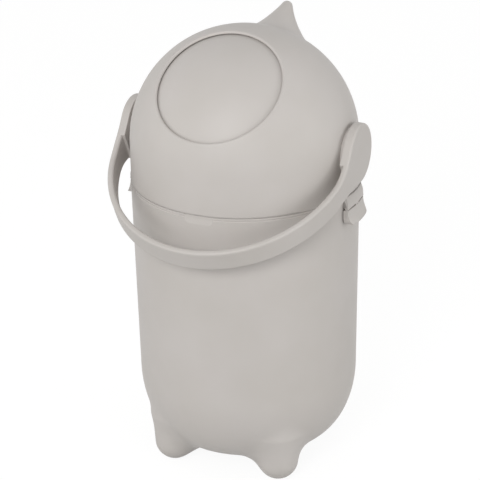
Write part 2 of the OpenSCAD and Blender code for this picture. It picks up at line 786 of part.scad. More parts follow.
module handle() {
    color(shell_tone)
    at_pivot() {
        difference() {
            rotate([handle_drop, 0, 0]) {
                intersection() {
                    translate([0, 0, -hub_r - cut]) linear_extrude(2 * (hub_r + cut)) difference() {
                        band_outline(0);
                        band_outline(band_t);
                        translate([-band_x, -arm_l, 0]) square([2 * band_x, 2 * arm_l + hub_r]);
                    }
                    rotate([90, 0, 90]) linear_extrude(far, center = true) arm_side();
                }
                for (s = [0, 1]) mirror([s, 0, 0])
                    translate([hub_x, 0, 0]) rotate([0, 90, 0]) cylinder(r = hub_r, h = hub_t);
            }
            for (s = [0, 1]) mirror([s, 0, 0]) stop_slot();
        }
        for (s = [0, 1]) mirror([s, 0, 0])
            difference() {
                translate([plate_x - trunnion_flange_t, -(spigot_w - 0.1) / 2, -(spigot_w - 0.1) / 2])
                    cube([hub_x - plate_x + trunnion_flange_t + 2, spigot_w - 0.1, spigot_w - 0.1]);
                translate([plate_x - trunnion_flange_t - cut, 0, 0]) rotate([0, 90, 0])
                    cylinder(r = screw_r + 0.5 + tiny, h = 14, $fn = 32);
            }
    }
}

// Screws with a washer face that hold the trunnions on the handle's spigots
module hub_screws() {
    color(steel_tone)
    each_end() translate([plate_x - trunnion_flange_t, 0, 0]) rotate([0, 90, 0])
        difference() {
            union() {
                translate([0, 0, -1.4]) cylinder(r = spigot_w * 0.62, h = 1.4 - tiny);
                translate([0, 0, -3.6]) cylinder(r = screw_head_r + 1, h = 2.4, $fn = 32);
                translate([0, 0, -cut]) cylinder(r = screw_r + 0.5, h = 12, $fn = 32);
            }
            for (a = [0, 90]) rotate(a) translate([0, 0, -3.6]) cube([4.6, 1, 2], center = true);
        }
}

// ---------------------------------------------------------------- clips

// Lever of one clip on the +X side: skin, cheeks, a filled root and the hook behind the catch
module clip() {
    lip_out = clip_r + lever_flare;
    back_r = skirt_in_r + 0.2;
    top_z = clip_pin_z + cut;
    mid_z = clip_pin_z - 0.36 * lever_l;
    outer = [[clip_r, top_z], [clip_r, clip_pin_z - 2], [clip_r + 0.12 * lever_flare, mid_z],
             [clip_r + 0.42 * lever_flare, clip_pin_z - 0.62 * lever_l],
             [lip_out - 0.3, lever_z + 2.4], [lip_out, lever_z + 1.4], [lip_out - 0.4, lever_z + 0.4],
             [lip_out - 1.4, lever_z]];
    color(shell_tone)
    difference() {
        union() {
            intersection() {
                union() {
                    // skin
                    clip_slice(clip_w) polygon(concat(outer,
                        [[lip_out - lever_t, lever_z + 0.6],
                         [clip_r + 0.42 * lever_flare - lever_t, clip_pin_z - 0.6 * lever_l],
                         [clip_r - lever_t, mid_z], [clip_r - lever_t, top_z]]));
                    // root
                    clip_slice(clip_w)
                        polygon([[back_r, mid_z], [clip_r - 1, mid_z], [clip_r - 1, top_z], [back_r, top_z]]);
                    // cheeks
                    difference() {
                        clip_slice(clip_w) polygon(concat(outer, [[back_r, lever_z + 2], [back_r, top_z]]));
                        clip_slice(clip_w - lever_t)
                            polygon([[back_r - 1, 0], [lip_out + 5, 0], [lip_out + 5, rim_z], [back_r - 1, rim_z]]);
                    }
                    // hook
                    clip_slice(0.7 * clip_w)
                        polygon([[hook_r, lever_z + 3.4], [clip_r + lever_flare / 2, lever_z + 2.6],
                                 [clip_r + lever_flare / 2, lever_z + 5.2], [hook_r, lever_z + 4.6]]);
                }
                // rounded lower corners
                translate([0, 0, lever_z]) rotate([90, 0, 90]) linear_extrude(2 * dome_r) clip_front();
            }
            // middle barrel
            intersection() {
                pin_bar(knuckle_r, knuckle_w);
                union() {
                    translate([clip_pin_x, -clip_w, clip_pin_z - lever_l / 2]) cube([lever_l, 2 * clip_w, lever_l]);
                    pin_bar(clip_pin_x - skirt_in_r, clip_w);
                }
            }
        }
        pin_bar(clip_pin_r + run_gap, 2 * clip_w);
        for (s = [-1, 1])
            translate([0, s * (knuckle_w + clip_w), 0]) pin_bar(barrel_r + clip_gap, clip_w);
        // nothing of the lever stands higher than its pin, apart from the middle barrel
        for (s = [-1, 1])
            translate([clip_pin_x - lever_l / 2, s * (knuckle_w + clip_w) - clip_w, clip_pin_z - 1.2])
                cube([2 * lever_l, 2 * clip_w, lever_l]);
        // the top edge slants down, so that it clears the pad when the lever swings out
        difference() {
            translate([clip_pin_x, -clip_w - cut, clip_pin_z]) rotate([0, clip_swing + 4, 0])
                cube([lever_l, 2 * (clip_w + cut), lever_l]);
            pin_bar(knuckle_r, knuckle_w);
        }
        // the middle barrel's own shoulders, cut round its notch
        difference() {
            translate([clip_pin_x - lever_l / 2, -knuckle_w, clip_pin_z])
                cube([2 * lever_l, 2 * knuckle_w, lever_l]);
            pin_bar(knuckle_r, clip_w);
        }
    }
}

// Front view of a lever, with rounded lower corners
module clip_front() {
    corner = 9;
    translate([-clip_w, corner]) square([2 * clip_w, lever_l]);
    translate([-clip_w + corner, 0]) square([2 * (clip_w - corner), lever_l]);
    for (s = [-1, 1]) translate([s * (clip_w - corner), corner]) circle(r = corner, $fn = 48);
}

module clip_right() { clip(); }
module clip_left() { mirror([1, 0, 0]) clip(); }

module clip_pin_right() { color(steel_tone) pin_bar(clip_pin_r, clip_w - 1 - tiny); }
module clip_pin_left() { mirror([1, 0, 0]) clip_pin_right(); }

bin_body();
foot_pads();
liner_ring();
lid_shell();
opening_seal();
lid_collar();
lower_seal();
rim_gasket();
lid_screws();
bush_left();
bush_right();
clip_pin_left();
clip_pin_right();
drum_upper();
drum_lower();
cup_liner();
drum_screws();
cup_screws();
trunnion_left();
trunnion_right();
trunnion_screws();
handle();
hub_screws();
clip_left();
clip_right();
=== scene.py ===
import json
import math
import bmesh
import bpy
import numpy as np
from mathutils import Matrix, Vector


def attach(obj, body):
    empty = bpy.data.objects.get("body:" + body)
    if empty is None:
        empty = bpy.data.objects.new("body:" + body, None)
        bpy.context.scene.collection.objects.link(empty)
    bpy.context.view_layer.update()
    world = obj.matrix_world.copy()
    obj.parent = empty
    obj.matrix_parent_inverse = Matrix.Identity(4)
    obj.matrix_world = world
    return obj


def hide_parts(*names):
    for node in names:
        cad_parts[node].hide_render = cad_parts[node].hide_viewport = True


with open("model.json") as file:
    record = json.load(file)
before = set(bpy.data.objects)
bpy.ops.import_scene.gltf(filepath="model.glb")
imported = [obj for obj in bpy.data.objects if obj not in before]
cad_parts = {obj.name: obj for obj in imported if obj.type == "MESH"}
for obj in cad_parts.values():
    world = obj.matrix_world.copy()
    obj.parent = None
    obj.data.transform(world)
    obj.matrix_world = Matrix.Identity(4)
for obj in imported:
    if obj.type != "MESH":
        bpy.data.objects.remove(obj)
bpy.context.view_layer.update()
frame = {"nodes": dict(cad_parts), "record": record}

scene = bpy.context.scene
mm = 0.001
pivotHeight = 393.4                                     # axis of the drum and the handle, mm above the floor
hingeReach, hingeHeight = 134.8, 334.0                  # pins of the side clips, mm from the axis and the floor

# the camera stands as it did for the photograph
photoView = {
    "azimuth": 23.61, "elevation": 23.62, "roll": -1.05,      # degrees
    "distance": 2.44955, "aimHeight": 0.26654,                # metres
    "focalPixels": 2086.45, "centreX": 246.42, "centreY": 239.03, "imageSize": 480, "sensor": 36,
}


def towards(azimuth, elevation):                        # unit vector from the bin to a camera or a lamp, from degrees
    az, el = math.radians(azimuth), math.radians(elevation)
    return Vector((math.sin(az) * math.cos(el), -math.cos(az) * math.cos(el), math.sin(el)))


def placeCamera(view):
    az, roll = math.radians(view["azimuth"]), math.radians(view["roll"])
    back = towards(view["azimuth"], view["elevation"])
    right = Vector((math.cos(az), math.sin(az), 0))
    up = back.cross(right)
    rolledRight = math.cos(roll) * right + math.sin(roll) * up
    rolledUp = math.cos(roll) * up - math.sin(roll) * right
    size = view["imageSize"]
    lens = bpy.data.cameras.new("photoCamera")
    lens.sensor_width = view["sensor"]
    lens.lens = view["sensor"] * view["focalPixels"] / size
    lens.shift_x = (size / 2 - view["centreX"]) / size
    lens.shift_y = (view["centreY"] - size / 2) / size
    lens.clip_end = 50
    camera = bpy.data.objects.new("photoCamera", lens)
    scene.collection.objects.link(camera)
    turn = Matrix((rolledRight, rolledUp, back)).transposed().to_4x4()
    camera.matrix_world = Matrix.Translation(Vector((0, 0, view["aimHeight"])) + back * view["distance"]) @ turn
    scene.camera = camera


placeCamera(photoView)


def srgb(hexColour):                                    # sRGB hex to linear RGBA
    parts = [int(hexColour[i:i + 2], 16) / 255 for i in (1, 3, 5)]
    return tuple(c / 12.92 if c <= 0.04045 else ((c + 0.055) / 1.055) ** 2.4 for c in parts) + (1.0,)


def addNode(tree, kind, settings=None, links=None):     # one node with its settings and incoming links
    made = tree.nodes.new(kind)
    for key, value in (settings or {}).items():
        if isinstance(key, str) and hasattr(made, key):
            setattr(made, key, value)
        else:
            made.inputs[key].default_value = value
    for key, source in (links or {}).items():
        tree.links.new(source, made.inputs[key])
    return made


def newMaterial(name, shaderValues):
    material = bpy.data.materials.new(name)
    material.use_nodes = True
    tree = material.node_tree
    shader = tree.nodes["Principled BSDF"]
    for key, value in shaderValues.items():
        shader.inputs[key].default_value = value
    return material, tree, shader


def mouldedPlastic(name, values):
    # polypropylene from a spark-eroded mould: satin, with a fine even grain and hardly any change of colour
    material, tree, shader = newMaterial(name, {"IOR": 1.49, "Specular IOR Level": values["specular"]})
    place = addNode(tree, "ShaderNodeTexCoord").outputs["Object"]
    cloud = addNode(tree, "ShaderNodeTexNoise", {"Scale": 1 / values["cloudSize"], "Detail": 3.0, "Roughness": 0.5},
                    {"Vector": place})
    tone = addNode(tree, "ShaderNodeValToRGB", None, {"Fac": cloud.outputs["Fac"]})
    tone.color_ramp.elements[0].position = 0.35
    tone.color_ramp.elements[1].position = 0.65
    tone.color_ramp.elements[0].color = srgb(values["darker"])
    tone.color_ramp.elements[1].color = srgb(values["lighter"])
    tree.links.new(tone.outputs["Color"], shader.inputs["Base Color"])
    grain = addNode(tree, "ShaderNodeTexNoise", {"Scale": 1 / values["grainSize"], "Detail": 2.0, "Roughness": 0.6},
                    {"Vector": place})
    flow = addNode(tree, "ShaderNodeTexNoise", {"Scale": 1 / values["flowSize"], "Detail": 2.0}, {"Vector": place})
    wave = addNode(tree, "ShaderNodeBump", {"Strength": values["flowBump"], "Distance": 0.001},
                   {"Height": flow.outputs["Fac"]})
    bump = addNode(tree, "ShaderNodeBump", {"Strength": values["grainBump"], "Distance": 0.0002},
                   {"Height": grain.outputs["Fac"], "Normal": wave.outputs["Normal"]})
    tree.links.new(bump.outputs["Normal"], shader.inputs["Normal"])
    middle, spread = values["roughness"], 0.05
    gloss = addNode(tree, "ShaderNodeMapRange", {"To Min": middle - spread, "To Max": middle + spread},
                    {"Value": grain.outputs["Fac"]})
    tree.links.new(gloss.outputs["Result"], shader.inputs["Roughness"])
    return material


def elastomerMaterial(name, values):
    # thermoplastic elastomer, injection moulded: dull, soft edge sheen, faint dusty patches
    material, tree, shader = newMaterial(name, {"IOR": 1.5, "Specular IOR Level": 0.3, "Sheen Weight": 0.1,
                                                "Roughness": values["roughness"]})
    place = addNode(tree, "ShaderNodeTexCoord").outputs["Object"]
    dust = addNode(tree, "ShaderNodeTexNoise", {"Scale": 1 / values["dustSize"], "Detail": 4.0}, {"Vector": place})
    tone = addNode(tree, "ShaderNodeValToRGB", None, {"Fac": dust.outputs["Fac"]})
    tone.color_ramp.elements[0].color = srgb(values["dark"])
    tone.color_ramp.elements[1].color = srgb(values["dusty"])
    tree.links.new(tone.outputs["Color"], shader.inputs["Base Color"])
    grain = addNode(tree, "ShaderNodeTexNoise", {"Scale": 1 / values["grainSize"], "Detail": 1.0}, {"Vector": place})
    bump = addNode(tree, "ShaderNodeBump", {"Strength": 0.2, "Distance": 0.0002}, {"Height": grain.outputs["Fac"]})
    tree.links.new(bump.outputs["Normal"], shader.inputs["Normal"])
    return material


def platedSteelMaterial(name, values):
    # zinc-plated steel, cold headed: fine drawn lines and a slightly cloudy plating
    material, tree, shader = newMaterial(name, {"Metallic": 1.0})
    place = addNode(tree, "ShaderNodeTexCoord").outputs["Object"]
    cloud = addNode(tree, "ShaderNodeTexNoise", {"Scale": 1 / values["cloudSize"], "Detail": 3.0}, {"Vector": place})
    tone = addNode(tree, "ShaderNodeValToRGB", None, {"Fac": cloud.outputs["Fac"]})
    tone.color_ramp.elements[0].color = srgb(values["cloudy"])
    tone.color_ramp.elements[1].color = srgb(values["bright"])
    tree.links.new(tone.outputs["Color"], shader.inputs["Base Color"])
    gloss = addNode(tree, "ShaderNodeMapRange", {"To Min": values["smoothest"], "To Max": values["roughest"]},
                    {"Value": cloud.outputs["Fac"]})
    tree.links.new(gloss.outputs["Result"], shader.inputs["Roughness"])
    lines = addNode(tree, "ShaderNodeTexNoise", {"Scale": 1 / values["lineSize"], "Detail": 1.0}, {"Vector": place})
    bump = addNode(tree, "ShaderNodeBump", {"Strength": 0.15, "Distance": 0.0001}, {"Height": lines.outputs["Fac"]})
    tree.links.new(bump.outputs["Normal"], shader.inputs["Normal"])
    return material


# outer shells; the real grain is about 0.1 mm and is drawn at 0.7 mm, so that it shows at all
satinPolypropylene = mouldedPlastic("satinPolypropylene", {
    "darker": "#C1BCB7", "lighter": "#C5C0BC", "specular": 0.42, "roughness": 0.5,
    "cloudSize": 0.09, "grainSize": 0.0007, "grainBump": 0.16, "flowSize": 0.05, "flowBump": 0.05})
# inner parts: the same plastic, paler and smoother, from a plainly polished mould
innerPolypropylene = mouldedPlastic("innerPolypropylene", {
    "darker": "#C9C6C1", "lighter": "#CFCCC7", "specular": 0.5, "roughness": 0.42,
    "cloudSize": 0.06, "grainSize": 0.0012, "grainBump": 0.08, "flowSize": 0.03, "flowBump": 0.04})
elastomer = elastomerMaterial("mouldedElastomer", {
    "dark": "#5A5754", "dusty": "#67635F", "roughness": 0.78, "dustSize": 0.012, "grainSize": 0.0005})
# the seal in the lid's opening is dyed like the shells, so that its edge hardly shows
paleElastomer = elastomerMaterial("paleElastomer", {
    "dark": "#A8A39F", "dusty": "#B1ACA8", "roughness": 0.7, "dustSize": 0.012, "grainSize": 0.0005})
platedSteel = platedSteelMaterial("zincPlatedSteel", {
    "bright": "#C3C4C6", "cloudy": "#A9ABAD", "smoothest": 0.22, "roughest": 0.4,
    "lineSize": 0.0002, "cloudSize": 0.002})
print("materials made")

# shapes are pairs of vertices and faces, in mm, until meshOf makes a mesh of them


def roundPath(points, radii, steps=5, guard=0.5):
    # closed outline with rounded corners; short guards beside each arc keep flat faces flat in the shading
    out = []
    for i, (point, radius) in enumerate(zip(points, radii)):
        p = np.array(point, float)
        if radius <= 0:
            out.append(p)
            continue
        a, b = np.array(points[i - 1], float) - p, np.array(points[(i + 1) % len(points)], float) - p
        lenA, lenB = np.linalg.norm(a), np.linalg.norm(b)
        a, b = a / lenA, b / lenB
        half = math.acos(max(-1.0, min(1.0, float(a @ b)))) / 2
        reach = min(radius / math.tan(half), 0.48 * lenA, 0.48 * lenB)      # neighbouring arcs never meet
        r = reach * math.tan(half)
        middle = p + (a + b) / np.linalg.norm(a + b) * (r / math.sin(half))
        start, end = p + a * reach - middle, p + b * reach - middle
        first = math.atan2(start[1], start[0])
        sweep = (math.atan2(end[1], end[0]) - first + math.pi) % (2 * math.pi) - math.pi
        if reach + guard < 0.5 * lenA:
            out.append(p + a * (reach + guard))
        for k in range(steps + 1):
            angle = first + sweep * k / steps
            out.append(middle + r * np.array([math.cos(angle), math.sin(angle)]))
        if reach + guard < 0.5 * lenB:
            out.append(p + b * (reach + guard))
    return out


def gridFaces(rows, columns, wrapRows, wrapColumns):
    faces = []
    for i in range(rows if wrapRows else rows - 1):
        for j in range(columns if wrapColumns else columns - 1):
            k, n = (i + 1) % rows, (j + 1) % columns
            faces.append((i * columns + j, i * columns + n, k * columns + n, k * columns + j))
    return faces


def latheShape(profile, segments, closed=True):
    profile = np.array(profile, float)
    angles = np.arange(segments) * 2 * math.pi / segments
    verts = np.stack([np.outer(profile[:, 0], np.cos(angles)), np.outer(profile[:, 0], np.sin(angles)),
                      np.repeat(profile[:, 1][:, None], segments, 1)], -1).reshape(-1, 3)
    return verts, gridFaces(len(profile), segments, closed, True)


def movedShape(shape, matrix):
    verts, faces = shape
    m = np.array(matrix)
    return verts @ m[:3, :3].T + m[:3, 3], faces


def joinedShapes(shapes):
    verts, faces, start = [], [], 0
    for v, f in shapes:
        verts.append(v)
        faces += [tuple(i + start for i in face) for face in f]
        start += len(v)
    return np.concatenate(verts), faces


def pushOut(bm, face, push):
    made = bmesh.ops.extrude_face_region(bm, geom=[face])
    bmesh.ops.translate(bm, verts=[g for g in made["geom"] if isinstance(g, bmesh.types.BMVert)], vec=push)
    bm.normal_update()


def prismOf(outline, push):                             # bmesh of a flat outline pushed out into a closed solid
    bm = bmesh.new()
    pushOut(bm, bm.faces.new([bm.verts.new(tuple(p)) for p in outline]), push)
    return bm


def softenEdges(bm, edges, width, steps):
    bmesh.ops.bevel(bm, geom=edges, offset=width, segments=steps, profile=0.5, affect="EDGES", clamp_overlap=True)


def cutAcross(bm, axis, places):                        # extra edges, where the shape is bent later
    normal = [float(k == axis) for k in range(3)]
    for place in places:
        bmesh.ops.bisect_plane(bm, geom=bm.verts[:] + bm.edges[:] + bm.faces[:], dist=1e-4,
                               plane_co=[place * n for n in normal], plane_no=normal)


def shapeOf(bm):                                        # the verts and faces of a bmesh, which is then freed
    bm.verts.index_update()
    shape = np.array([v.co for v in bm.verts], float), [tuple(v.index for v in f.verts) for f in bm.faces]
    bm.free()
    return shape


def meshOf(name, shape):
    mesh = bpy.data.meshes.new(name)
    mesh.from_pydata((np.asarray(shape[0]) * mm).tolist(), [], shape[1])
    bm = bmesh.new()
    bm.from_mesh(mesh)
    bmesh.ops.remove_doubles(bm, verts=bm.verts, dist=2e-6)
    bmesh.ops.dissolve_degenerate(bm, edges=bm.edges, dist=1e-7)
    bmesh.ops.recalc_face_normals(bm, faces=bm.faces)
    for face in bm.faces:
        face.smooth = True
    bm.to_mesh(mesh)
    bm.free()
    return mesh


def addPiece(name, shape, material, body, node):
    piece = bpy.data.objects.new(name, meshOf(name, shape))
    scene.collection.objects.link(piece)
    piece.data.materials.append(material)
    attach(piece, body)
    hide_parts(node)
    return piece


def addToPiece(piece, shapes):                          # more closed shapes in the same mesh
    extra = meshOf("extra", joinedShapes(shapes))
    bm = bmesh.new()
    bm.from_mesh(piece.data)
    bm.from_mesh(extra)
    bm.to_mesh(piece.data)
    bm.free()
    bpy.data.meshes.remove(extra)


def cutPiece(piece, cutterShapes):                      # takes closed cutters out of a piece, with the exact solver
    cutter = bpy.data.objects.new("cutter", meshOf("cutter", joinedShapes(cutterShapes)))
    scene.collection.objects.link(cutter)
    modifier = piece.modifiers.new("cut", "BOOLEAN")
    modifier.operation, modifier.solver, modifier.object = "DIFFERENCE", "EXACT", cutter
    bpy.context.view_layer.update()
    mesh = bpy.data.meshes.new_from_object(piece.evaluated_get(bpy.context.evaluated_depsgraph_get()))
    piece.modifiers.clear()
    old, piece.data = piece.data, mesh
    bpy.data.meshes.remove(old)
    bpy.data.objects.remove(cutter)


def evenNormals(piece):                                 # large flat faces keep their shading beside rounded edges
    piece.data.set_sharp_from_angle(angle=math.radians(55))
    weigh = piece.modifiers.new("evenNormals", "WEIGHTED_NORMAL")
    weigh.weight = 50
    weigh.keep_sharp = True


def smoothStep(x, low, high):
    t = np.clip((x - low) / (high - low), 0, 1)
    return t * t * (3 - 2 * t)


def smoothMin(a, b, width):
    h = np.clip(width - np.abs(a - b), 0, None) / width
    return np.minimum(a, b) - h * h * width / 4


def alongX(side):                                       # turns a shape made along +Z to point along +X or -X
    return Matrix.Rotation(math.radians(90 * side), 4, "Y")


atPivot = Matrix.Translation((0, 0, pivotHeight))

# bin body, one moulding with its four feet
binValues = {
    "rimRadius": 132.5, "baseRadius": 129.0, "rimHeight": 347.9, "wall": 3.0,
    "underside": 25.5, "roundWidth": 50.0, "roundHeight": 86.0, "plainFrom": 130.0,
    "stepHeight": 3.4, "stepDepth": 0.35, "grooveDepth": 0.75,
    "recessHalfWidth": 16.8, "recessHeight": 9.0, "recessDepth": 1.1,
    "footRing": 98.0, "footAngle": 43.0, "tipRadius": 24.0, "tipTurn": 12.0, "topRadius": 26.0, "topHeight": 60.0,
    "topFall": 0.45, "rootBack": 18.0, "rootRadius": 34.0, "rootUp": 17.0, "rootBlend": 9.0, "blend": 13.0,
    "ledgeHeight": 327.4, "ledgeWidth": 2.8,
    "catchHeight": 320.0, "catchDepth": 1.0, "catchHalfWidth": 18.75,
    "sole": 8.0, "padRadius": 7.02, "padProud": 1.2, "padDepth": 3.0, "pegRadius": 2.52, "pegDepth": 3.1,
}
footAngles = [middle + s * binValues["footAngle"] for middle in (90, 270) for s in (-1, 1)]      # 270 is the front


def wallRadius(z):                                      # the wall leans in slightly towards its foot
    v = binValues
    roundTop = v["underside"] + v["roundHeight"]
    return v["rimRadius"] - (v["rimRadius"] - v["baseRadius"]) * (v["rimHeight"] - z) / (v["rimHeight"] - roundTop)


def footField(x, y, z, angle, inset, footBottom):       # a ball at the tip, a cone above it and a root in the body
    v = binValues
    tip, turn = v["tipRadius"] - inset, math.radians(v["tipTurn"])
    tipTop = footBottom + tip * (1 - math.sin(turn))
    slope = (v["topRadius"] - inset - tip * math.cos(turn)) / (v["topHeight"] - tipTop)
    ca, sa = math.cos(math.radians(angle)), math.sin(math.radians(angle))
    rho = np.hypot(x - v["footRing"] * ca, y - v["footRing"] * sa)
    ball = np.hypot(rho, z - footBottom - tip) - tip
    cone = rho - (tip * math.cos(turn) + (np.minimum(z, v["topHeight"]) - tipTop) * slope
                  - np.maximum(z - v["topHeight"], 0) * v["topFall"])
    foot = np.where(z < tipTop, ball, cone)
    back = v["footRing"] - v["rootBack"]
    root = np.sqrt((x - back * ca) ** 2 + (y - back * sa) ** 2 + (z - v["underside"] - v["rootUp"]) ** 2)
    return smoothMin(foot, root - (v["rootRadius"] - inset), v["rootBlend"])


def binField(r, theta, z, inset, footBottom):           # below 0 inside the bin with its feet
    v = binValues
    roundTop, floorRadius = v["underside"] + v["roundHeight"], v["baseRadius"] - v["roundWidth"]
    w, h = v["roundWidth"] - inset, v["roundHeight"] - inset
    ex, ez = np.maximum(r - floorRadius, 0) / w, np.minimum(z - roundTop, 0) / h
    g = np.sqrt(ex * ex + ez * ez) + 1e-9
    corner = (g - 1) * g / (np.sqrt((ex / w) ** 2 + (ez / h) ** 2) + 1e-9)
    low = np.where(r < floorRadius, v["underside"] + inset - z, corner)
    field = np.where(z > roundTop, r - wallRadius(z) + inset, low)
    x, y = r * np.cos(theta), r * np.sin(theta)
    for angle in footAngles:
        field = smoothMin(field, footField(x, y, z, angle, inset, footBottom), v["blend"])
    return field


def binSurface(thetas, inset, footBottom, counts):      # rows from the middle of the underside up to the plain wall
    v = binValues
    roundTop, floorRadius = v["underside"] + v["roundHeight"], v["baseRadius"] - v["roundWidth"]
    middleCount, floorCount, turnCount = counts         # rows inside, and outside, the circle between the feet
    between = 40.0
    flat = np.concatenate([np.linspace(0.0, between, middleCount)[:-1],
                           np.linspace(between, floorRadius, floorCount)[:-1]])
    rows = [(r, v["underside"] + inset) for r in flat]
    for t in np.radians(np.linspace(0, 90, turnCount)):
        rows.append((floorRadius + (v["roundWidth"] - inset) * math.sin(t),
                     roundTop - (v["roundHeight"] - inset) * math.cos(t)))
    rows += [(wallRadius(z) - inset, z) for z in (v["plainFrom"] - 13, v["plainFrom"] - 7, v["plainFrom"])]
    rows = np.array(rows)
    # each point is pushed out from a centre inside the body, halving the step until it meets the surface
    centre, beyond = np.array([85.0, 70.0]), 55.0
    aim = rows - centre
    length = np.linalg.norm(aim, axis=1)
    aim = aim / length[:, None]
    low = np.zeros((len(rows), len(thetas)))
    high = np.repeat(length[:, None] + beyond, len(thetas), 1)
    for _ in range(34):
        middle = (low + high) / 2
        r = centre[0] + middle * aim[:, 0:1]
        z = centre[1] + middle * aim[:, 1:2]
        inside = binField(np.abs(r), thetas[None, :], z, inset, footBottom) < 0
        low, high = np.where(inside, middle, low), np.where(inside, high, middle)
    r = centre[0] + low * aim[:, 0:1]
    z = centre[1] + low * aim[:, 1:2]
    r[0], z[0] = 0.0, v["underside"] + inset
    fade = smoothStep(rows[:, 1:2], v["plainFrom"] - 18, v["plainFrom"])
    return r * (1 - fade) + rows[:, 0:1] * fade, z * (1 - fade) + rows[:, 1:2] * fade


def wallRows():                                         # radius and height, up the outside and down the inside
    v = binValues
    stepZ, strip, deep = v["rimHeight"] - v["stepHeight"], v["stepDepth"], v["grooveDepth"]
    heights = np.concatenate([np.arange(145, 316, 15), [317.5, 318.4, 319.4, 320, 321, 322.4, 324, 328, 333, 336.5],
                              np.arange(338.3, stepZ - 0.3, 0.55), [stepZ - 0.25]])
    outer = [(wallRadius(z), z) for z in heights]
    groove = ((0.06, -0.1), (0.3, 0.02), (deep, 0.2), (deep, 0.75), (strip + 0.1, 0.95), (strip, 1.1), (strip, 1.7),
              (strip, 2.3))
    outer += [(wallRadius(stepZ) - d, stepZ + e) for d, e in groove]
    rimOut, rimIn, top = v["rimRadius"] - strip, v["rimRadius"] - v["wall"], v["rimHeight"]
    outer += [(rimOut, top - 0.7), (rimOut - 0.15, top - 0.3), (rimOut - 0.45, top - 0.05), (rimOut - 0.8, top),
              (rimIn + 0.8, top), (rimIn + 0.35, top - 0.1), (rimIn + 0.05, top - 0.5), (rimIn, top - 1.0)]
    inner = [(wallRadius(z) - v["wall"], z) for z in (340.0, 333.0, 328.4, 327.6)]
    ledge, nose = v["ledgeHeight"], rimIn - v["ledgeWidth"]
    inner += [(rimIn - 0.5, ledge), (nose + 0.4, ledge), (nose, ledge - 0.4), (nose, ledge - 3.3),
              (nose + 0.2, ledge - 3.8), (wallRadius(321) - v["wall"] - 0.1, 321.2),
              (wallRadius(320) - v["wall"], 319.5)]
    inner += [(wallRadius(z) - v["wall"], z) for z in (300.0, 260.0, 215.0, 170.0, 145.0)]
    return outer, inner


def shapeWall(ringR, ringZ, x, y):                      # catch ribs behind the clips, finger recess at the front
    v = binValues
    lift = np.interp(ringZ - v["catchHeight"], [-2.0, -0.6, 0.0, 1.0, 2.4], [0, 0.4, 1, 1, 0])
    ribEnd = v["catchHalfWidth"]
    ringR += v["catchDepth"] * lift * smoothStep(-np.abs(ringR * y[None, :]), -ribEnd - 0.6, -ribEnd + 0.6)
    across, below = np.abs(ringR * x[None, :]), v["rimHeight"] - ringZ
    corner = v["recessHeight"] * 0.55
    dx = np.maximum(across - (v["recessHalfWidth"] - corner), 0)
    dz = np.maximum(below - (v["recessHeight"] - corner), 0)
    shallow = smoothStep(-below, -v["recessHeight"] - 0.6, -v["recessHeight"] * 0.35)      # runs out softly downwards
    mask = smoothStep(corner - np.hypot(dx, dz), -0.35, 0.35) * (0.25 + 0.75 * shallow) * (y[None, :] < 0)
    ringR -= mask * np.maximum(ringR - (v["rimRadius"] - v["recessDepth"]), 0)


def buildBin():
    v = binValues
    # columns every 1.25 degrees, and every 0.3 at the front for the recess
    degrees = np.concatenate([np.linspace(-78, 258, 270), np.arange(258.3, 281.8, 0.3)])
    thetas = np.unique(np.round(np.radians(degrees) % (2 * math.pi), 6))
    x, y = np.cos(thetas), np.sin(thetas)
    outerR, outerZ = binSurface(thetas, 0.0, 0.0, (7, 19, 52))
    outer, inner = wallRows()
    ringR, ringZ = (np.array(part)[:, None] * np.ones((1, len(thetas))) for part in zip(*(outer + inner)))
    shapeWall(ringR[:len(outer)], ringZ[:len(outer)], x, y)
    innerR, innerZ = binSurface(thetas, v["wall"], v["sole"], (5, 10, 26))
    allR = np.concatenate([outerR, ringR, innerR[::-1]])
    allZ = np.concatenate([outerZ, ringZ, innerZ[::-1]])
    shape = np.stack([allR * x, allR * y, allZ], -1).reshape(-1, 3), gridFaces(len(allR), len(thetas), False, True)
    piece = addPiece("binShell", shape, satinPolypropylene, "bin", "bin_body")
    # seats of the rubber pads, which also cut the tips level
    proud, deep, pegTop = v["padProud"], v["padDepth"], v["padDepth"] + v["pegDepth"]
    seat = latheShape([(0, -2), (30, -2), (30, proud), (v["padRadius"], proud), (v["padRadius"], deep),
                       (v["pegRadius"], deep), (v["pegRadius"], pegTop), (0, pegTop)], 64)
    ring = v["footRing"]
    spots = [Matrix.Translation((ring * math.cos(a), ring * math.sin(a), 0)) for a in np.radians(footAngles)]
    cutPiece(piece, [movedShape(seat, spot) for spot in spots])


buildBin()
print("bin done")

# lid with its peak, opening, hub bosses and clip pads
lidValues = {
    "radius": 132.0, "wall": 3.2, "seamHeight": 348.4, "edge": 0.4, "rows": 134,
    "openingAngle": 51.1, "openingRadius": 73.6, "lip": 2.5,
    "peakAngle": 42.0, "peakLean": 6.0, "peakReach": 177.5, "peakTip": 6.8, "peakFlare": 128.0,
    "padHalfWidth": 25.0, "padBottom": 334.0, "padTop": 363.0, "padInner": 133.0, "padOuter": 138.6,
    "barrelAt": 14.3, "barrelHalf": 10.2, "barrelRadius": 2.1,
    "bossRadius": 30.0, "bossBack": 125.5, "bossEnd": 132.4, "bossEdge": 0.6, "bushRadius": 16.06,
    "screwRing": 126.2, "screwHole": 1.2, "screwBoss": 2.9, "screwLow": 352.9, "screwHigh": 356.4,
}


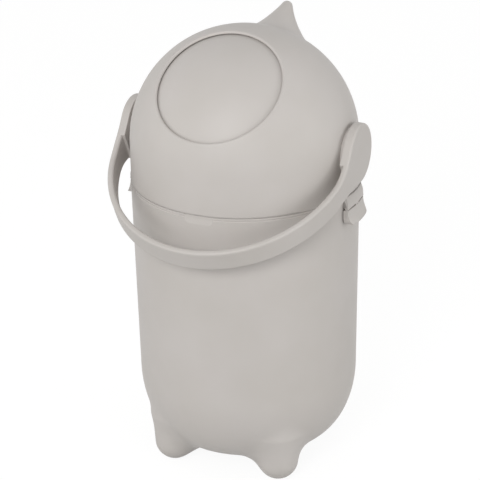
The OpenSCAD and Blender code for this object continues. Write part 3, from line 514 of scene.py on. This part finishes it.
def lidPeak(angle, base):                               # distance from the pivot, at an angle off the peak's axis
    # the tip is a small ball, and a large hollow arc leads from it into the dome
    v = lidValues
    toDome, toTip = v["radius"] + v["peakFlare"], v["peakTip"] + v["peakFlare"]
    midY = (toDome ** 2 - toTip ** 2 + v["peakReach"] ** 2) / (2 * v["peakReach"])
    midX = math.sqrt(toDome ** 2 - midY ** 2)
    tipAngle = math.atan2(midY - v["peakReach"], midX)
    tipEnd = math.atan2(v["peakTip"] * math.cos(tipAngle), v["peakReach"] + v["peakTip"] * math.sin(tipAngle))
    foot = math.atan2(midX, midY)
    dot = np.sin(angle) * midX + np.cos(angle) * midY
    flare = dot - np.sqrt(np.maximum(dot ** 2 - (midX ** 2 + midY ** 2 - v["peakFlare"] ** 2), 0))
    reach = v["peakReach"] * np.cos(angle)
    tip = reach + np.sqrt(np.maximum(reach ** 2 - (v["peakReach"] ** 2 - v["peakTip"] ** 2), 0))
    return np.where(angle < tipEnd, tip, np.where(angle < foot, np.maximum(flare, base), base))


def padRadius(z):                                       # outside of a clip pad, from the bin's axis
    return np.interp(z, [334, 339, 342, 345, 348.5, 352, 355, 357.5, 360, 363],
                     [138.6, 138.55, 138.2, 137.3, 135.9, 134.4, 133.3, 132.6, 132.15, 131.9])


def lidOutside(d):                                      # distance from the pivot along unit directions
    v = lidValues
    level = np.maximum(np.hypot(d[..., 0], d[..., 1]), 1e-6)
    base = np.where(d[..., 2] < 0, v["radius"] / level, v["radius"])
    # the peak's foot stands a little lower than its tip
    tilt = math.radians(v["peakAngle"])
    off = np.degrees(np.arccos(np.clip(d @ np.array([0, math.cos(tilt), math.sin(tilt)]), -1, 1)))
    lean = np.radians(v["peakAngle"] - v["peakLean"] * smoothStep(off, 3, 24))
    reach = lidPeak(np.arccos(np.clip(d[..., 1] * np.cos(lean) + d[..., 2] * np.sin(lean), -1, 1)), base)
    padEdge = v["padHalfWidth"]
    for _ in range(6):                                  # clip pads, in a few steps because they depend on height
        z, y = pivotHeight + reach * d[..., 2], np.abs(reach * d[..., 1])
        wide = np.where(z > v["seamHeight"], smoothStep(-y, -padEdge - 1.2, -padEdge + 2.6), 1.0)
        bump = (v["radius"] + (padRadius(z) - v["radius"]) * wide * (y < padEdge + 3)) / level
        reach = np.where((z < v["padTop"]) & (bump > base), 0.5 * reach + 0.5 * np.maximum(bump, base), reach)
    return reach


def lidColumns():                                       # angles at the seam, closer at the sides of the clip pads
    v = lidValues
    edge = math.degrees(math.asin((v["padHalfWidth"] - 0.15) / v["padOuter"]))
    offsets = (-1.2, -0.8, -0.4, -0.16, 0.0, 0.12, 0.3, 0.6, 1.0, 1.5)
    near = np.array([side + s * (edge + k) for side in (0, 180) for s in (-1, 1) for k in offsets]) % 360
    keep = [a for a in np.arange(0, 360, 1.0) if np.min(np.abs((near - a + 180) % 360 - 180)) > 0.45]
    thetas = np.radians(np.sort(np.concatenate([keep, near])))
    return thetas, np.abs(np.degrees(np.arcsin(np.sin(thetas)))) < edge + 0.05


def lidLowerRows(thetas, onPad):
    # from the grid's end down to the lower edge, round it and up inside; the pads go further down to the hinge
    v = lidValues
    cosT, sinT = np.cos(thetas), np.sin(thetas)
    seam = np.full(len(thetas), v["seamHeight"])
    bottom = np.where(onPad, v["padBottom"], v["seamHeight"])
    outEdge = np.where(onPad, padRadius(v["padBottom"]), v["radius"])
    inEdge = np.where(onPad, v["padInner"], v["radius"] - v["wall"])
    inR, e, rise = v["radius"] - v["wall"], v["edge"], 0.8

    def ring(radius, height):
        return np.stack([radius * cosT, radius * sinT, height - pivotHeight], -1)

    rows = [ring(np.where(onPad, padRadius(seam + rise), v["radius"]), seam + rise)]
    for f in (0.12, 0.3, 0.5, 0.7, 0.88, 1.0):
        height = seam + np.where(onPad, (bottom + e - seam) * f, rise - (rise - e) * f)
        rows.append(ring(np.where(onPad, padRadius(height), v["radius"]), height))
    for turn in np.radians((30, 60, 90)):
        rows.append(ring(outEdge - e + e * math.cos(turn), bottom + e - e * math.sin(turn)))
    rows += [ring(inEdge + 0.5, bottom), ring(inEdge, bottom + 0.5),
             ring(inEdge, np.where(onPad, seam - 0.2, bottom + 0.7)),
             ring(np.where(onPad, v["padInner"] - 0.5, inR), np.where(onPad, seam, bottom + 0.9)),
             ring(np.where(onPad, inR + 0.4, inR), np.where(onPad, seam, bottom + 1.1)), ring(inR, seam + 1.4)]
    return np.array(rows)


def refinePeak(shape):                                  # closer mesh at the peak, laid back on its true surface
    v = lidValues
    tilt = math.radians(v["peakAngle"])
    axis, centre = Vector((0, math.cos(tilt), math.sin(tilt))), Vector((0, 0, pivotHeight))
    mesh = bpy.data.meshes.new("peak")
    mesh.from_pydata(shape[0].tolist(), [], shape[1])
    bm = bmesh.new()
    bm.from_mesh(mesh)
    bpy.data.meshes.remove(mesh)

    def nearPeak(vert, degrees):
        out = vert.co - centre
        return out.length > v["radius"] - 0.5 and out.angle(axis) < math.radians(degrees)

    for degrees, cuts in ((16, 1), (8, 1), (4, 2)):
        edges = [e for e in bm.edges if any(nearPeak(w, degrees) for w in e.verts)
                 and all((w.co - centre).length > v["radius"] - 0.5 for w in e.verts)]
        bmesh.ops.subdivide_edges(bm, edges=edges, cuts=cuts, use_grid_fill=True)
        near = [w for w in bm.verts if nearPeak(w, degrees + 3)]
        d = np.array([(w.co - centre).normalized() for w in near])
        for w, one, r in zip(near, d, lidOutside(d)):
            w.co = centre + Vector(one * r)
    return shapeOf(bm)


def buildLid():
    v = lidValues
    tilt = math.radians(v["openingAngle"])
    axis, sideways = np.array([0, -math.cos(tilt), math.sin(tilt)]), np.array([1.0, 0, 0])
    upwards = np.cross(axis, sideways)
    thetas, onPad = lidColumns()
    # every column runs from the opening to its own point of the seam
    seam = np.stack([v["radius"] * np.cos(thetas), v["radius"] * np.sin(thetas),
                     np.full(len(thetas), v["seamHeight"] - pivotHeight)], -1)
    seam /= np.linalg.norm(seam, axis=1)[:, None]
    beta, seamAngle = np.arctan2(seam @ upwards, seam @ sideways), np.arccos(seam @ axis)
    around = np.cos(beta)[:, None] * sideways + np.sin(beta)[:, None] * upwards
    openEdge, lipAngle = math.asin(v["openingRadius"] / v["radius"]), v["lip"] / v["radius"]

    def directions(first, shares):                      # from an angle off the opening's axis to the seam
        alpha = first + (seamAngle[None, :] - first) * shares[:, None]
        return np.cos(alpha)[..., None] * axis + np.sin(alpha)[..., None] * around[None]

    lipRows = []
    for q in np.radians(np.linspace(0, 90, 9)):         # quarter round
        a = openEdge + (1 - math.cos(q)) * lipAngle
        r = v["radius"] - v["lip"] + v["lip"] * math.sin(q)
        lipRows.append((math.cos(a) * axis + math.sin(a) * around) * r)
    grid = directions(openEdge + lipAngle + 0.6 / v["radius"], np.linspace(0, 1, v["rows"]))
    outer = (grid * lidOutside(grid)[..., None])[:-1]
    below = lidLowerRows(thetas, onPad)
    # the inside is a plain sphere on a cylinder
    inR = v["radius"] - v["wall"]
    gridIn = directions(openEdge, np.linspace(1, 0, 40)[1:])
    level = np.maximum(np.hypot(gridIn[..., 0], gridIn[..., 1]), 1e-6)
    inner = gridIn * np.where(gridIn[..., 2] < 0, inR / level, inR)[..., None]
    verts = np.concatenate([lipRows, outer, below, inner])
    shape = verts.reshape(-1, 3) + [0, 0, pivotHeight], gridFaces(len(verts), len(thetas), True, True)
    piece = addPiece("lidShell", refinePeak(shape), satinPolypropylene, "lid", "lid_shell")
    bore = latheShape([(0, 100), (v["bushRadius"], 100), (v["bushRadius"], 150), (0, 150)], 96)
    cutPiece(piece, [movedShape(bore, atPivot @ alongX(s)) for s in (-1, 1)])
    # bosses, hinge barrels and screw bosses are moulded on: their own closed shapes in the same piece
    extras = []
    hubBoss = latheShape(roundPath([(v["bushRadius"], 128.2), (v["bossRadius"], v["bossBack"]),
                                    (v["bossRadius"], v["bossEnd"]), (v["bushRadius"], v["bossEnd"])],
                                   [0, 0, v["bossEdge"], 0.3], steps=5), 144)
    r, half = v["barrelRadius"], v["barrelHalf"]
    barrel = latheShape(roundPath([(0, -half), (r, -half), (r, half), (0, half)], [0, 0.3, 0.3, 0], steps=3), 32)
    lying = Matrix.Rotation(math.pi / 2, 4, "X")
    for s in (-1, 1):
        extras.append(movedShape(hubBoss, atPivot @ alongX(s)))
        for y in (-v["barrelAt"], v["barrelAt"]):
            extras.append(movedShape(barrel, Matrix.Translation((hingeReach * s, y, hingeHeight)) @ lying))
    hole, out, low, high = v["screwHole"], v["screwBoss"], v["screwLow"], v["screwHigh"]
    screwBoss = latheShape(roundPath([(hole, low), (out, low), (out, high), (hole, high)],
                                     [0, 0.2, 0.2, 0], steps=2), 32)
    for a in np.radians(range(30, 360, 60)):
        spot = Matrix.Translation((v["screwRing"] * math.cos(a), v["screwRing"] * math.sin(a), 0))
        extras.append(movedShape(screwBoss, spot))
    addToPiece(piece, extras)


buildLid()
print("lid done")

# drum, two halves that meet below its axis; heights are measured from the axis
drumValues = {"radius": 127.4, "wall": 3.0, "flat": 124.4, "split": -30.0, "lineGap": 0.25,
              "flangeWidth": 12.0, "flangeHeight": 4.0, "mouth": 64.0, "mouthEdge": -109.2, "ledge": -101.02}


def sphereArc(radius, fromZ, toZ, steps):
    a, b = (math.asin(max(-1, min(1, z / radius))) for z in (fromZ, toZ))
    return [(radius * math.cos(a + (b - a) * k / steps), radius * math.sin(a + (b - a) * k / steps))
            for k in range(steps + 1)]


def drumShape(profile, closed):                         # turned, with the two flats that carry the trunnions
    v = drumValues
    verts, faces = latheShape(profile, 192, closed)
    inside = np.linalg.norm(verts, axis=1) < v["radius"] - 1.5
    limit = np.where(inside, v["flat"] - v["wall"], v["flat"])
    verts[:, 0] = np.clip(verts[:, 0], -limit, limit)
    return movedShape((verts, faces), atPivot)


def buildDrum():
    v = drumValues
    outR, inR, s, gap, flange = v["radius"], v["radius"] - v["wall"], v["split"], v["lineGap"], v["flangeHeight"]
    flangeIn = math.sqrt(inR ** 2 - s ** 2) - v["flangeWidth"]
    upper = sphereArc(outR, outR, s + gap + 0.4, 70)
    upper += [(math.sqrt(outR ** 2 - (s + gap) ** 2) - 0.4, s + gap), (flangeIn, s + gap), (flangeIn, s + flange),
              (math.sqrt(inR ** 2 - (s + flange + 0.1) ** 2), s + flange + 0.1)]
    upper += sphereArc(inR, s + flange + 1, inR, 40)
    addPiece("drumUpper", drumShape(upper, False), satinPolypropylene, "drum", "drum_upper")
    mouth, edge, ledge = v["mouth"], v["mouthEdge"], v["ledge"]
    lower = [(math.sqrt(outR ** 2 - (s - gap) ** 2) - 0.4, s - gap)]
    lower += sphereArc(outR, s - gap - 0.4, edge, 40)
    turnedIn = roundPath([(math.sqrt(outR ** 2 - edge ** 2), edge), (mouth + 1.6, edge - 0.4), (mouth, edge + 1.8),
                          (mouth, ledge), (math.sqrt(inR ** 2 - ledge ** 2), ledge)], [0, 0.8, 1.0, 0.2, 0], steps=4)
    lower += [tuple(p) for p in turnedIn[1:]]
    lower += sphereArc(inR, ledge + 1, s - flange - 1, 24)
    lower += [(flangeIn, s - flange), (flangeIn, s - gap)]
    addPiece("drumLower", drumShape(lower, True), satinPolypropylene, "drum", "drum_lower")


buildDrum()

# cup in the drum, open downwards at rest; heights are measured from the axis
cupValues = {"radius": 63.6, "wall": 2.4, "bottom": -107.0, "end": 39.0,
             "flange": 71.6, "flangeAt": -101.02, "flangeHeight": 3.0}


def buildCup():                                         # one deep-drawn shape with soft corners
    v = cupValues
    outR, inR, end, endIn = v["radius"], v["radius"] - v["wall"], v["end"], v["end"] - v["wall"]
    flangeTop = v["flangeAt"] + v["flangeHeight"]
    outline = [(0, end), (outR - 8, end), (outR, end - 8), (outR, flangeTop), (v["flange"], flangeTop),
               (v["flange"], v["flangeAt"]), (outR, v["flangeAt"]), (outR, v["bottom"]), (inR, v["bottom"]),
               (inR, end - 8), (inR - 5.5, endIn), (0, endIn)]
    radii = [0, 5, 5, 0.8, 0.5, 0.4, 0.3, 0.9, 0.9, 4, 4, 0]
    shape = movedShape(latheShape(roundPath(outline, radii), 160), atPivot)
    addPiece("cupLiner", shape, innerPolypropylene, "drum", "cup_liner")


buildCup()
print("drum and cup done")

# carrying handle, drawn flat along its length and bent to its curve
handleValues = {"hubRadius": 35.0, "hubInner": 132.7, "thickness": 7.1, "innerFace": 136.1, "reach": 187.7, "arm": 38.0,
                "halfWidth": 13.6, "neck": 68.0, "neckLean": 31.0, "drop": 26.8, "edge": 2.8, "edgeSteps": 6,
                "cutEvery": 4.0, "thickTo": 37.6, "thickRound": 1.5, "thickEdge": 0.8, "thickSpread": 0.03,
                "spigotFrom": 118.4, "spigotLength": 19.7, "spigotWidth": 11.9, "spigotEdge": 0.5}


def handleSide():                                       # half of the hub's circle, then a hollow curve into the band
    v = handleValues
    lean = math.radians(v["neckLean"])
    start = v["hubRadius"] * np.array([math.sin(lean), math.cos(lean)])
    end = np.array([v["neck"], v["halfWidth"]])
    ahead = (start[1] - end[1]) / math.tan(lean)
    knee = np.array([min(start[0] + ahead, v["neck"] - 8), v["halfWidth"]])
    hub = [v["hubRadius"] * np.array([math.sin(t), math.cos(t)]) for t in np.linspace(-math.pi / 2, lean, 30)[:-1]]
    return hub + [(1 - t) ** 2 * start + 2 * t * (1 - t) * knee + t * t * end for t in np.linspace(0, 1, 17)]


def handleBand(side):                                   # the whole band: straight arms that go on into half an ellipse
    v = handleValues
    half = v["thickness"] / 2
    a, b = v["innerFace"] + half, v["reach"] - v["arm"] - half
    phi = np.linspace(0, math.pi, 2001)
    curve = np.stack([-a * np.cos(phi), v["arm"] + b * np.sin(phi)], -1)
    run = np.concatenate([[0], np.cumsum(np.linalg.norm(np.diff(curve, axis=0), axis=1))])
    total = run[-1] + 2 * v["arm"]
    topLine = side + [np.array([total - p[0], p[1]]) for p in side[::-1]]
    outline = topLine + [np.array([p[0], -p[1]]) for p in topLine[::-1][1:-1]]
    bm = prismOf([(p[0], p[1], -half) for p in outline], (0, 0, v["thickness"]))
    rims = [e for e in bm.edges if len(e.link_faces) == 2 and any(abs(f.normal.z) > 0.9 for f in e.link_faces)
            and any(abs(f.normal.z) < 0.5 for f in e.link_faces)]
    softenEdges(bm, rims, v["edge"], v["edgeSteps"])
    cutAcross(bm, 0, np.arange(v["arm"], total - v["arm"] + 0.1, v["cutEvery"]))
    flat, faces = shapeOf(bm)
    u = np.clip(flat[:, 0] - v["arm"], 0, run[-1])
    at = np.interp(u, run, phi)
    px, py = -a * np.cos(at), v["arm"] + b * np.sin(at)
    tx, ty = a * np.sin(at), b * np.cos(at)
    norm = np.hypot(tx, ty)
    tx, ty = tx / norm, ty / norm
    over = flat[:, 0] - v["arm"] - u                    # the arms run on past both ends of the curve
    x = px + tx * over - ty * flat[:, 2]
    y = py + ty * over + tx * flat[:, 2]
    return np.stack([x, -y, flat[:, 1]], -1), faces


def hubPad(side):                                       # the hub is thicker towards the lid, inside the same outline
    v = handleValues
    spread, r = 1 + v["thickSpread"] / v["hubRadius"], v["thickRound"]
    closing = [p for p in side if p[0] <= v["thickTo"] - r]
    centre = np.array([v["thickTo"] - r, closing[-1][1] - 2.2])
    closing += [centre + r * np.array([math.sin(t), math.cos(t)]) for t in np.radians(np.linspace(0, 90, 5))]
    outline = closing + [np.array([p[0], -p[1]]) for p in closing[::-1][:-1]]
    deep = v["innerFace"] - v["hubInner"] + v["thickness"] - v["edge"] - 0.4
    pad = prismOf([(p[0] * spread, p[1] * spread, 0) for p in outline], (0, 0, deep))
    rims = [e for e in pad.edges if len(e.link_faces) == 2 and max(w.co.z for w in e.verts) < 0.01]
    softenEdges(pad, rims, v["thickEdge"], 3)
    return shapeOf(pad)


def buildHandle():
    v = handleValues
    side = handleSide()
    place = atPivot @ Matrix.Rotation(math.radians(v["drop"]), 4, "X")
    parts = [movedShape(handleBand(side), place)]
    flat, faces = hubPad(side)
    for s in (-1, 1):
        turned = np.stack([s * (v["hubInner"] + flat[:, 2]), -flat[:, 0], flat[:, 1]], -1)
        parts.append(movedShape((turned, faces), place))
    length, width = v["spigotLength"], v["spigotWidth"]
    for s in (-1, 1):                                   # square spigots that go through the trunnions
        block = bmesh.new()
        bmesh.ops.create_cube(block, size=1.0)
        bmesh.ops.scale(block, verts=block.verts, vec=(length, width, width))
        bmesh.ops.translate(block, verts=block.verts, vec=(s * (v["spigotFrom"] + length / 2), 0, 0))
        bmesh.ops.bevel(block, geom=block.edges[:], offset=v["spigotEdge"], segments=2, profile=0.5, affect="EDGES")
        parts.append(movedShape(shapeOf(block), atPivot))
    piece = addPiece("carryingHandle", joinedShapes(parts), satinPolypropylene, "drum", "handle")
    evenNormals(piece)


buildHandle()
print("handle done")

# side clips, drawn flat and bent round the bin
clipValues = {"halfWidth": 24.9, "top": 332.1, "bottom": 313.5, "back": 133.3, "front": 138.6, "skin": 2.6,
              "corner": 10.0, "topCorner": 0.8, "edge": 0.8, "knuckle": 3.7, "knuckleHalfWidth": 3.9}


def clipFlare(z):                                       # how far the outside stands out beyond the hinge
    return np.interp(z, [313.5, 314.6, 316.0, 318.5, 321.5, 325.5, 329.5, 340],
                     [4.6, 5.0, 4.75, 3.4, 2.0, 0.75, 0.05, 0.0])


def clipLever():
    v = clipValues
    w, depth, low, top = v["halfWidth"], v["front"] - v["back"], v["bottom"], v["top"]
    outline = roundPath([(-w, top), (-w, low), (w, low), (w, top)],
                        [v["topCorner"], v["corner"], v["corner"], v["topCorner"]], steps=10, guard=0.0)
    bm = prismOf([(p[0], p[1], 0) for p in outline], (0, 0, depth))
    back = min(bm.faces, key=lambda f: f.calc_center_median().z)
    bmesh.ops.inset_region(bm, faces=[back], thickness=v["skin"], use_even_offset=True)
    pushOut(bm, back, (0, 0, depth - v["skin"]))        # hollow at the back
    if back.is_valid:
        bm.faces.remove(back)
    rims = [e for e in bm.edges if len(e.link_faces) == 2 and e.calc_face_angle(0) > 1.0
            and min(w2.co.z for w2 in e.verts) > depth - 0.01]
    softenEdges(bm, rims, v["edge"], 4)
    cutAcross(bm, 0, np.linspace(-w + 2, w - 2, 13))
    cutAcross(bm, 1, (314.6, 316.0, 317.2, 318.5, 320, 321.5, 323.5, 325.5, 327.5, 329.5, 331.0))
    flat, faces = shapeOf(bm)
    y = flat[:, 0]
    radius = v["back"] + flat[:, 2] + clipFlare(flat[:, 1]) * np.clip(flat[:, 2] / depth, 0, 1) ** 0.7
    return np.stack([np.sqrt(radius ** 2 - y ** 2), y, flat[:, 1]], -1), faces


def clipKnuckle():                                      # middle barrel round the pin, joined to the lever's root
    v = clipValues
    half, r = v["knuckleHalfWidth"], v["knuckle"]
    arc = [(hingeReach + r * math.sin(t), hingeHeight + r * math.cos(t)) for t in np.linspace(0, math.pi * 0.62, 12)]
    arc += [(v["front"] - 1.0, 329.0), (v["back"] + 0.2, 329.0), (v["back"] - 0.1, hingeHeight),
            (hingeReach - 1.2, hingeHeight + 1.5)]
    return shapeOf(prismOf([(x, -half, z) for x, z in arc], (0, 2 * half, 0)))


def buildClip(side, name, body, node):
    shape = joinedShapes([clipLever(), clipKnuckle()])
    if side < 0:
        shape = movedShape(shape, Matrix.Scale(-1, 4, (1, 0, 0)))
    evenNormals(addPiece(name, shape, satinPolypropylene, body, node))


buildClip(-1, "clipLeft", "clip_l", "clip_left")
buildClip(1, "clipRight", "clip_r", "clip_right")
print("clips done")

# screws on a ring, made with one node tree; its sizes are in metres
screwSockets = {"Count": ("NodeSocketInt", 6), "Ring Radius": ("NodeSocketFloat", 0.1),
                "First Angle": ("NodeSocketFloat", 0.0), "Shank Radius": ("NodeSocketFloat", 0.0015),
                "Shank Length": ("NodeSocketFloat", 0.01), "Head Radius": ("NodeSocketFloat", 0.0028),
                "Head Height": ("NodeSocketFloat", 0.0018)}
# sizes inside a screw, each a share of one of its inputs
screwShares = {"shankMiddle": ("Shank Length", 0.5), "underHead": ("Head Radius", 0.78),
               "headDown": ("Head Height", -1.0), "slotDown": ("Head Height", -1.05),
               "slotLong": ("Head Radius", 1.24), "slotThin": ("Head Radius", 0.27)}


def screwTree():
    tree = bpy.data.node_groups.new("screwRing", "GeometryNodeTree")
    for name, (kind, value) in screwSockets.items():
        tree.interface.new_socket(name, in_out="INPUT", socket_type=kind).default_value = value
    tree.interface.new_socket("Geometry", in_out="OUTPUT", socket_type="NodeSocketGeometry")
    given = addNode(tree, "NodeGroupInput").outputs
    share = {key: addNode(tree, "ShaderNodeMath", {"operation": "MULTIPLY", 1: factor}, {0: given[name]}).outputs[0]
             for key, (name, factor) in screwShares.items()}
    shank = addNode(tree, "GeometryNodeMeshCylinder", {"Vertices": 24},
                    {"Radius": given["Shank Radius"], "Depth": given["Shank Length"]})
    head = addNode(tree, "GeometryNodeMeshCone", {"Vertices": 32, "Side Segments": 1},
                   {"Radius Top": given["Head Radius"], "Radius Bottom": share["underHead"],
                    "Depth": given["Head Height"]})
    parts = [(shank, "shankMiddle"), (head, "headDown")]
    for wide, thin in (("slotLong", "slotThin"), ("slotThin", "slotLong")):      # cross recess
        size = addNode(tree, "ShaderNodeCombineXYZ", None,
                       {"X": share[wide], "Y": share[thin], "Z": given["Head Height"]})
        parts.append((addNode(tree, "GeometryNodeMeshCube", None, {"Size": size.outputs[0]}), "slotDown"))
    placed = []
    for part, rise in parts:
        spot = addNode(tree, "ShaderNodeCombineXYZ", None, {"Z": share[rise]})
        placed.append(addNode(tree, "GeometryNodeTransform", None,
                              {"Geometry": part.outputs["Mesh"], "Translation": spot.outputs[0]}).outputs[0])
    cut = addNode(tree, "GeometryNodeMeshBoolean", {"operation": "DIFFERENCE", "solver": "EXACT"},
                  {"Mesh 1": placed[1]})
    for slot in placed[2:]:
        tree.links.new(slot, cut.inputs["Mesh 2"])
    screw = addNode(tree, "GeometryNodeJoinGeometry")
    tree.links.new(placed[0], screw.inputs[0])
    tree.links.new(cut.outputs["Mesh"], screw.inputs[0])
    order = addNode(tree, "GeometryNodeInputIndex").outputs[0]
    turn = addNode(tree, "ShaderNodeMath", {"operation": "DIVIDE"}, {0: order, 1: given["Count"]}).outputs[0]
    angle = addNode(tree, "ShaderNodeMath", {"operation": "MULTIPLY_ADD", 1: 2 * math.pi},
                    {0: turn, 2: given["First Angle"]})
    start = addNode(tree, "ShaderNodeCombineXYZ", None, {"X": given["Ring Radius"]}).outputs[0]
    spot = addNode(tree, "ShaderNodeVectorRotate", {"rotation_type": "Z_AXIS"},
                   {"Vector": start, "Angle": angle.outputs[0]})
    ring = addNode(tree, "GeometryNodePoints", None, {"Count": given["Count"], "Position": spot.outputs[0]})
    spread = addNode(tree, "GeometryNodeInstanceOnPoints", None,
                     {"Points": ring.outputs[0], "Instance": screw.outputs[0]})
    real = addNode(tree, "GeometryNodeRealizeInstances", None, {"Geometry": spread.outputs[0]})
    painted = addNode(tree, "GeometryNodeSetMaterial", {"Material": platedSteel}, {"Geometry": real.outputs[0]})
    addNode(tree, "NodeGroupOutput", None, {"Geometry": painted.outputs[0]})
    return tree


screwNodes = screwTree()


def screwShape(values):
    holder = bpy.data.objects.new("screws", bpy.data.meshes.new("screws"))
    scene.collection.objects.link(holder)
    modifier = holder.modifiers.new("screws", "NODES")
    modifier.node_group = screwNodes
    for item in screwNodes.interface.items_tree:
        if item.in_out == "INPUT" and item.name in values:
            modifier[item.identifier] = values[item.name]
    bpy.context.view_layer.update()
    made = bpy.data.meshes.new_from_object(holder.evaluated_get(bpy.context.evaluated_depsgraph_get()))
    shape = np.array([w.co for w in made.vertices]) / mm, [tuple(p.vertices) for p in made.polygons]
    bpy.data.objects.remove(holder)
    bpy.data.meshes.remove(made)
    return shape


# name: body, node, count, first angle in degrees, then mm: ring radius, shank radius and length, head radius and height
screwSets = {
    "lidScrews": ("lid", "lid_screws", 6, 30, lidValues["screwRing"], 1.18, 6.0, 2.3, 1.75),
    "drumScrews": ("drum", "drum_screws", 6, 0, 114.23, 1.48, 7.2, 2.8, 1.8),
    "cupScrews": ("drum", "cup_screws", 4, 45, 67.6, 1.48, 6.6, 2.8, 1.8),
    "trunnionScrews": ("drum", "trunnion_screws", 3, 0, 17.5, 1.48, 5.3, 2.8, 1.8),
    "hubScrews": ("drum", "hub_screws", 1, 0, 0.0, 1.98, 12.0, 3.8, 3.6),
}
# where the underside of each ring's heads lies, with the points along +Z
screwPlaces = {
    "lidScrews": [Matrix.Translation((0, 0, 350.68))],
    "drumScrews": [Matrix.Translation((0, 0, pivotHeight + drumValues["split"] - drumValues["flangeHeight"]))],
    "cupScrews": [Matrix.Translation((0, 0, pivotHeight - 98.0)) @ Matrix.Rotation(math.pi, 4, "X")],
    "trunnionScrews": [atPivot @ Matrix.Translation((s * 118.4, 0, 0)) @ alongX(s) for s in (-1, 1)],
    "hubScrews": [atPivot @ Matrix.Translation((s * 118.38, 0, 0)) @ alongX(s) for s in (-1, 1)],
}


def buildScrews(name):
    body, node, count, first, *sizes = screwSets[name]
    sizeNames = ("Ring Radius", "Shank Radius", "Shank Length", "Head Radius", "Head Height")
    values = {"Count": count, "First Angle": math.radians(first)}
    values.update({key: size * mm for key, size in zip(sizeNames, sizes)})
    shape = screwShape(values)
    rings = joinedShapes([movedShape(shape, place) for place in screwPlaces[name]])
    piece = addPiece(name, rings, platedSteel, body, node)
    for polygon in piece.data.polygons:
        polygon.use_smooth = False


for name in screwSets:
    buildScrews(name)
print("screws done")

# CAD nodes that stay get the same finishes
finishes = {"shell_plastic": satinPolypropylene, "inner_plastic": innerPolypropylene, "rubber": elastomer,
            "steel": platedSteel}
for row in frame["record"]["subparts"]:
    node = frame["nodes"][row["node"]]
    node.data.materials.clear()
    node.data.materials.append(paleElastomer if row["node"] == "opening_seal" else finishes[row["material_slot"]])

# floor, light and background
stageValues = {
    "floorSize": 12.0, "floorColour": "#C4C4C3", "floorGlow": 0.8, "glowStrength": 1.15, "skyStrength": 0.52,
    "lampDistance": 3.0, "lampAim": 0.3,
    # name: azimuth and elevation in degrees, size in metres, watts
    "lamps": {"keyLight": (5, 29, 1.2, 36.0), "leftLight": (-60, 10, 1.3, 12.0), "rightLight": (60, 10, 1.3, 6.0),
              "rearLight": (100, 10, 1.3, 18.0)},
}


def rayMask(tree):                                      # 1 where the camera, a reflection or a refraction looks at it
    path = addNode(tree, "ShaderNodeLightPath").outputs
    seen = addNode(tree, "ShaderNodeMath", {"operation": "MAXIMUM"},
                   {0: path["Is Camera Ray"], 1: path["Is Glossy Ray"]})
    return addNode(tree, "ShaderNodeMath", {"operation": "MAXIMUM"},
                   {0: seen.outputs[0], 1: path["Is Transmission Ray"]}).outputs[0]


def buildFloor():
    v = stageValues
    size = v["floorSize"] / 2
    mesh = bpy.data.meshes.new("studioFloor")
    mesh.from_pydata([(-size, -size, 0), (size, -size, 0), (size, size, 0), (-size, size, 0)], [], [(0, 1, 2, 3)])
    floor = bpy.data.objects.new("studioFloor", mesh)
    scene.collection.objects.link(floor)
    paint, tree, shader = newMaterial("palePaper", {"Base Color": srgb(v["floorColour"]), "Roughness": 0.9})
    glow = addNode(tree, "ShaderNodeEmission", {"Color": (1, 1, 1, 1), "Strength": v["glowStrength"]})
    amount = addNode(tree, "ShaderNodeMath", {"operation": "MULTIPLY", 1: v["floorGlow"]}, {0: rayMask(tree)})
    mixed = addNode(tree, "ShaderNodeMixShader", None,
                    {0: amount.outputs[0], 1: shader.outputs[0], 2: glow.outputs[0]})
    tree.links.new(mixed.outputs[0], tree.nodes["Material Output"].inputs["Surface"])
    mesh.materials.append(paint)


def buildLight():
    v = stageValues
    world = bpy.data.worlds.new("softStudio")
    scene.world = world
    world.use_nodes = True
    tree = world.node_tree
    sky = tree.nodes["Background"]
    sky.inputs["Color"].default_value = (1, 1, 1, 1)
    sky.inputs["Strength"].default_value = v["skyStrength"]
    white = addNode(tree, "ShaderNodeBackground", {"Color": (1, 1, 1, 1), "Strength": 1.0})
    mixed = addNode(tree, "ShaderNodeMixShader", None, {0: rayMask(tree), 1: sky.outputs[0], 2: white.outputs[0]})
    tree.links.new(mixed.outputs[0], tree.nodes["World Output"].inputs["Surface"])
    for name, (azimuth, elevation, width, power) in v["lamps"].items():
        back = towards(azimuth, elevation)
        lamp = bpy.data.lights.new(name, "AREA")
        lamp.shape, lamp.size, lamp.energy = "DISK", width, power
        holder = bpy.data.objects.new(name, lamp)
        scene.collection.objects.link(holder)
        holder.location = Vector((0, 0, v["lampAim"])) + back * v["lampDistance"]
        holder.rotation_euler = (-back).to_track_quat("-Z", "Y").to_euler()
    scene.view_settings.view_transform = "Standard"


buildFloor()
buildLight()
print("stage done")
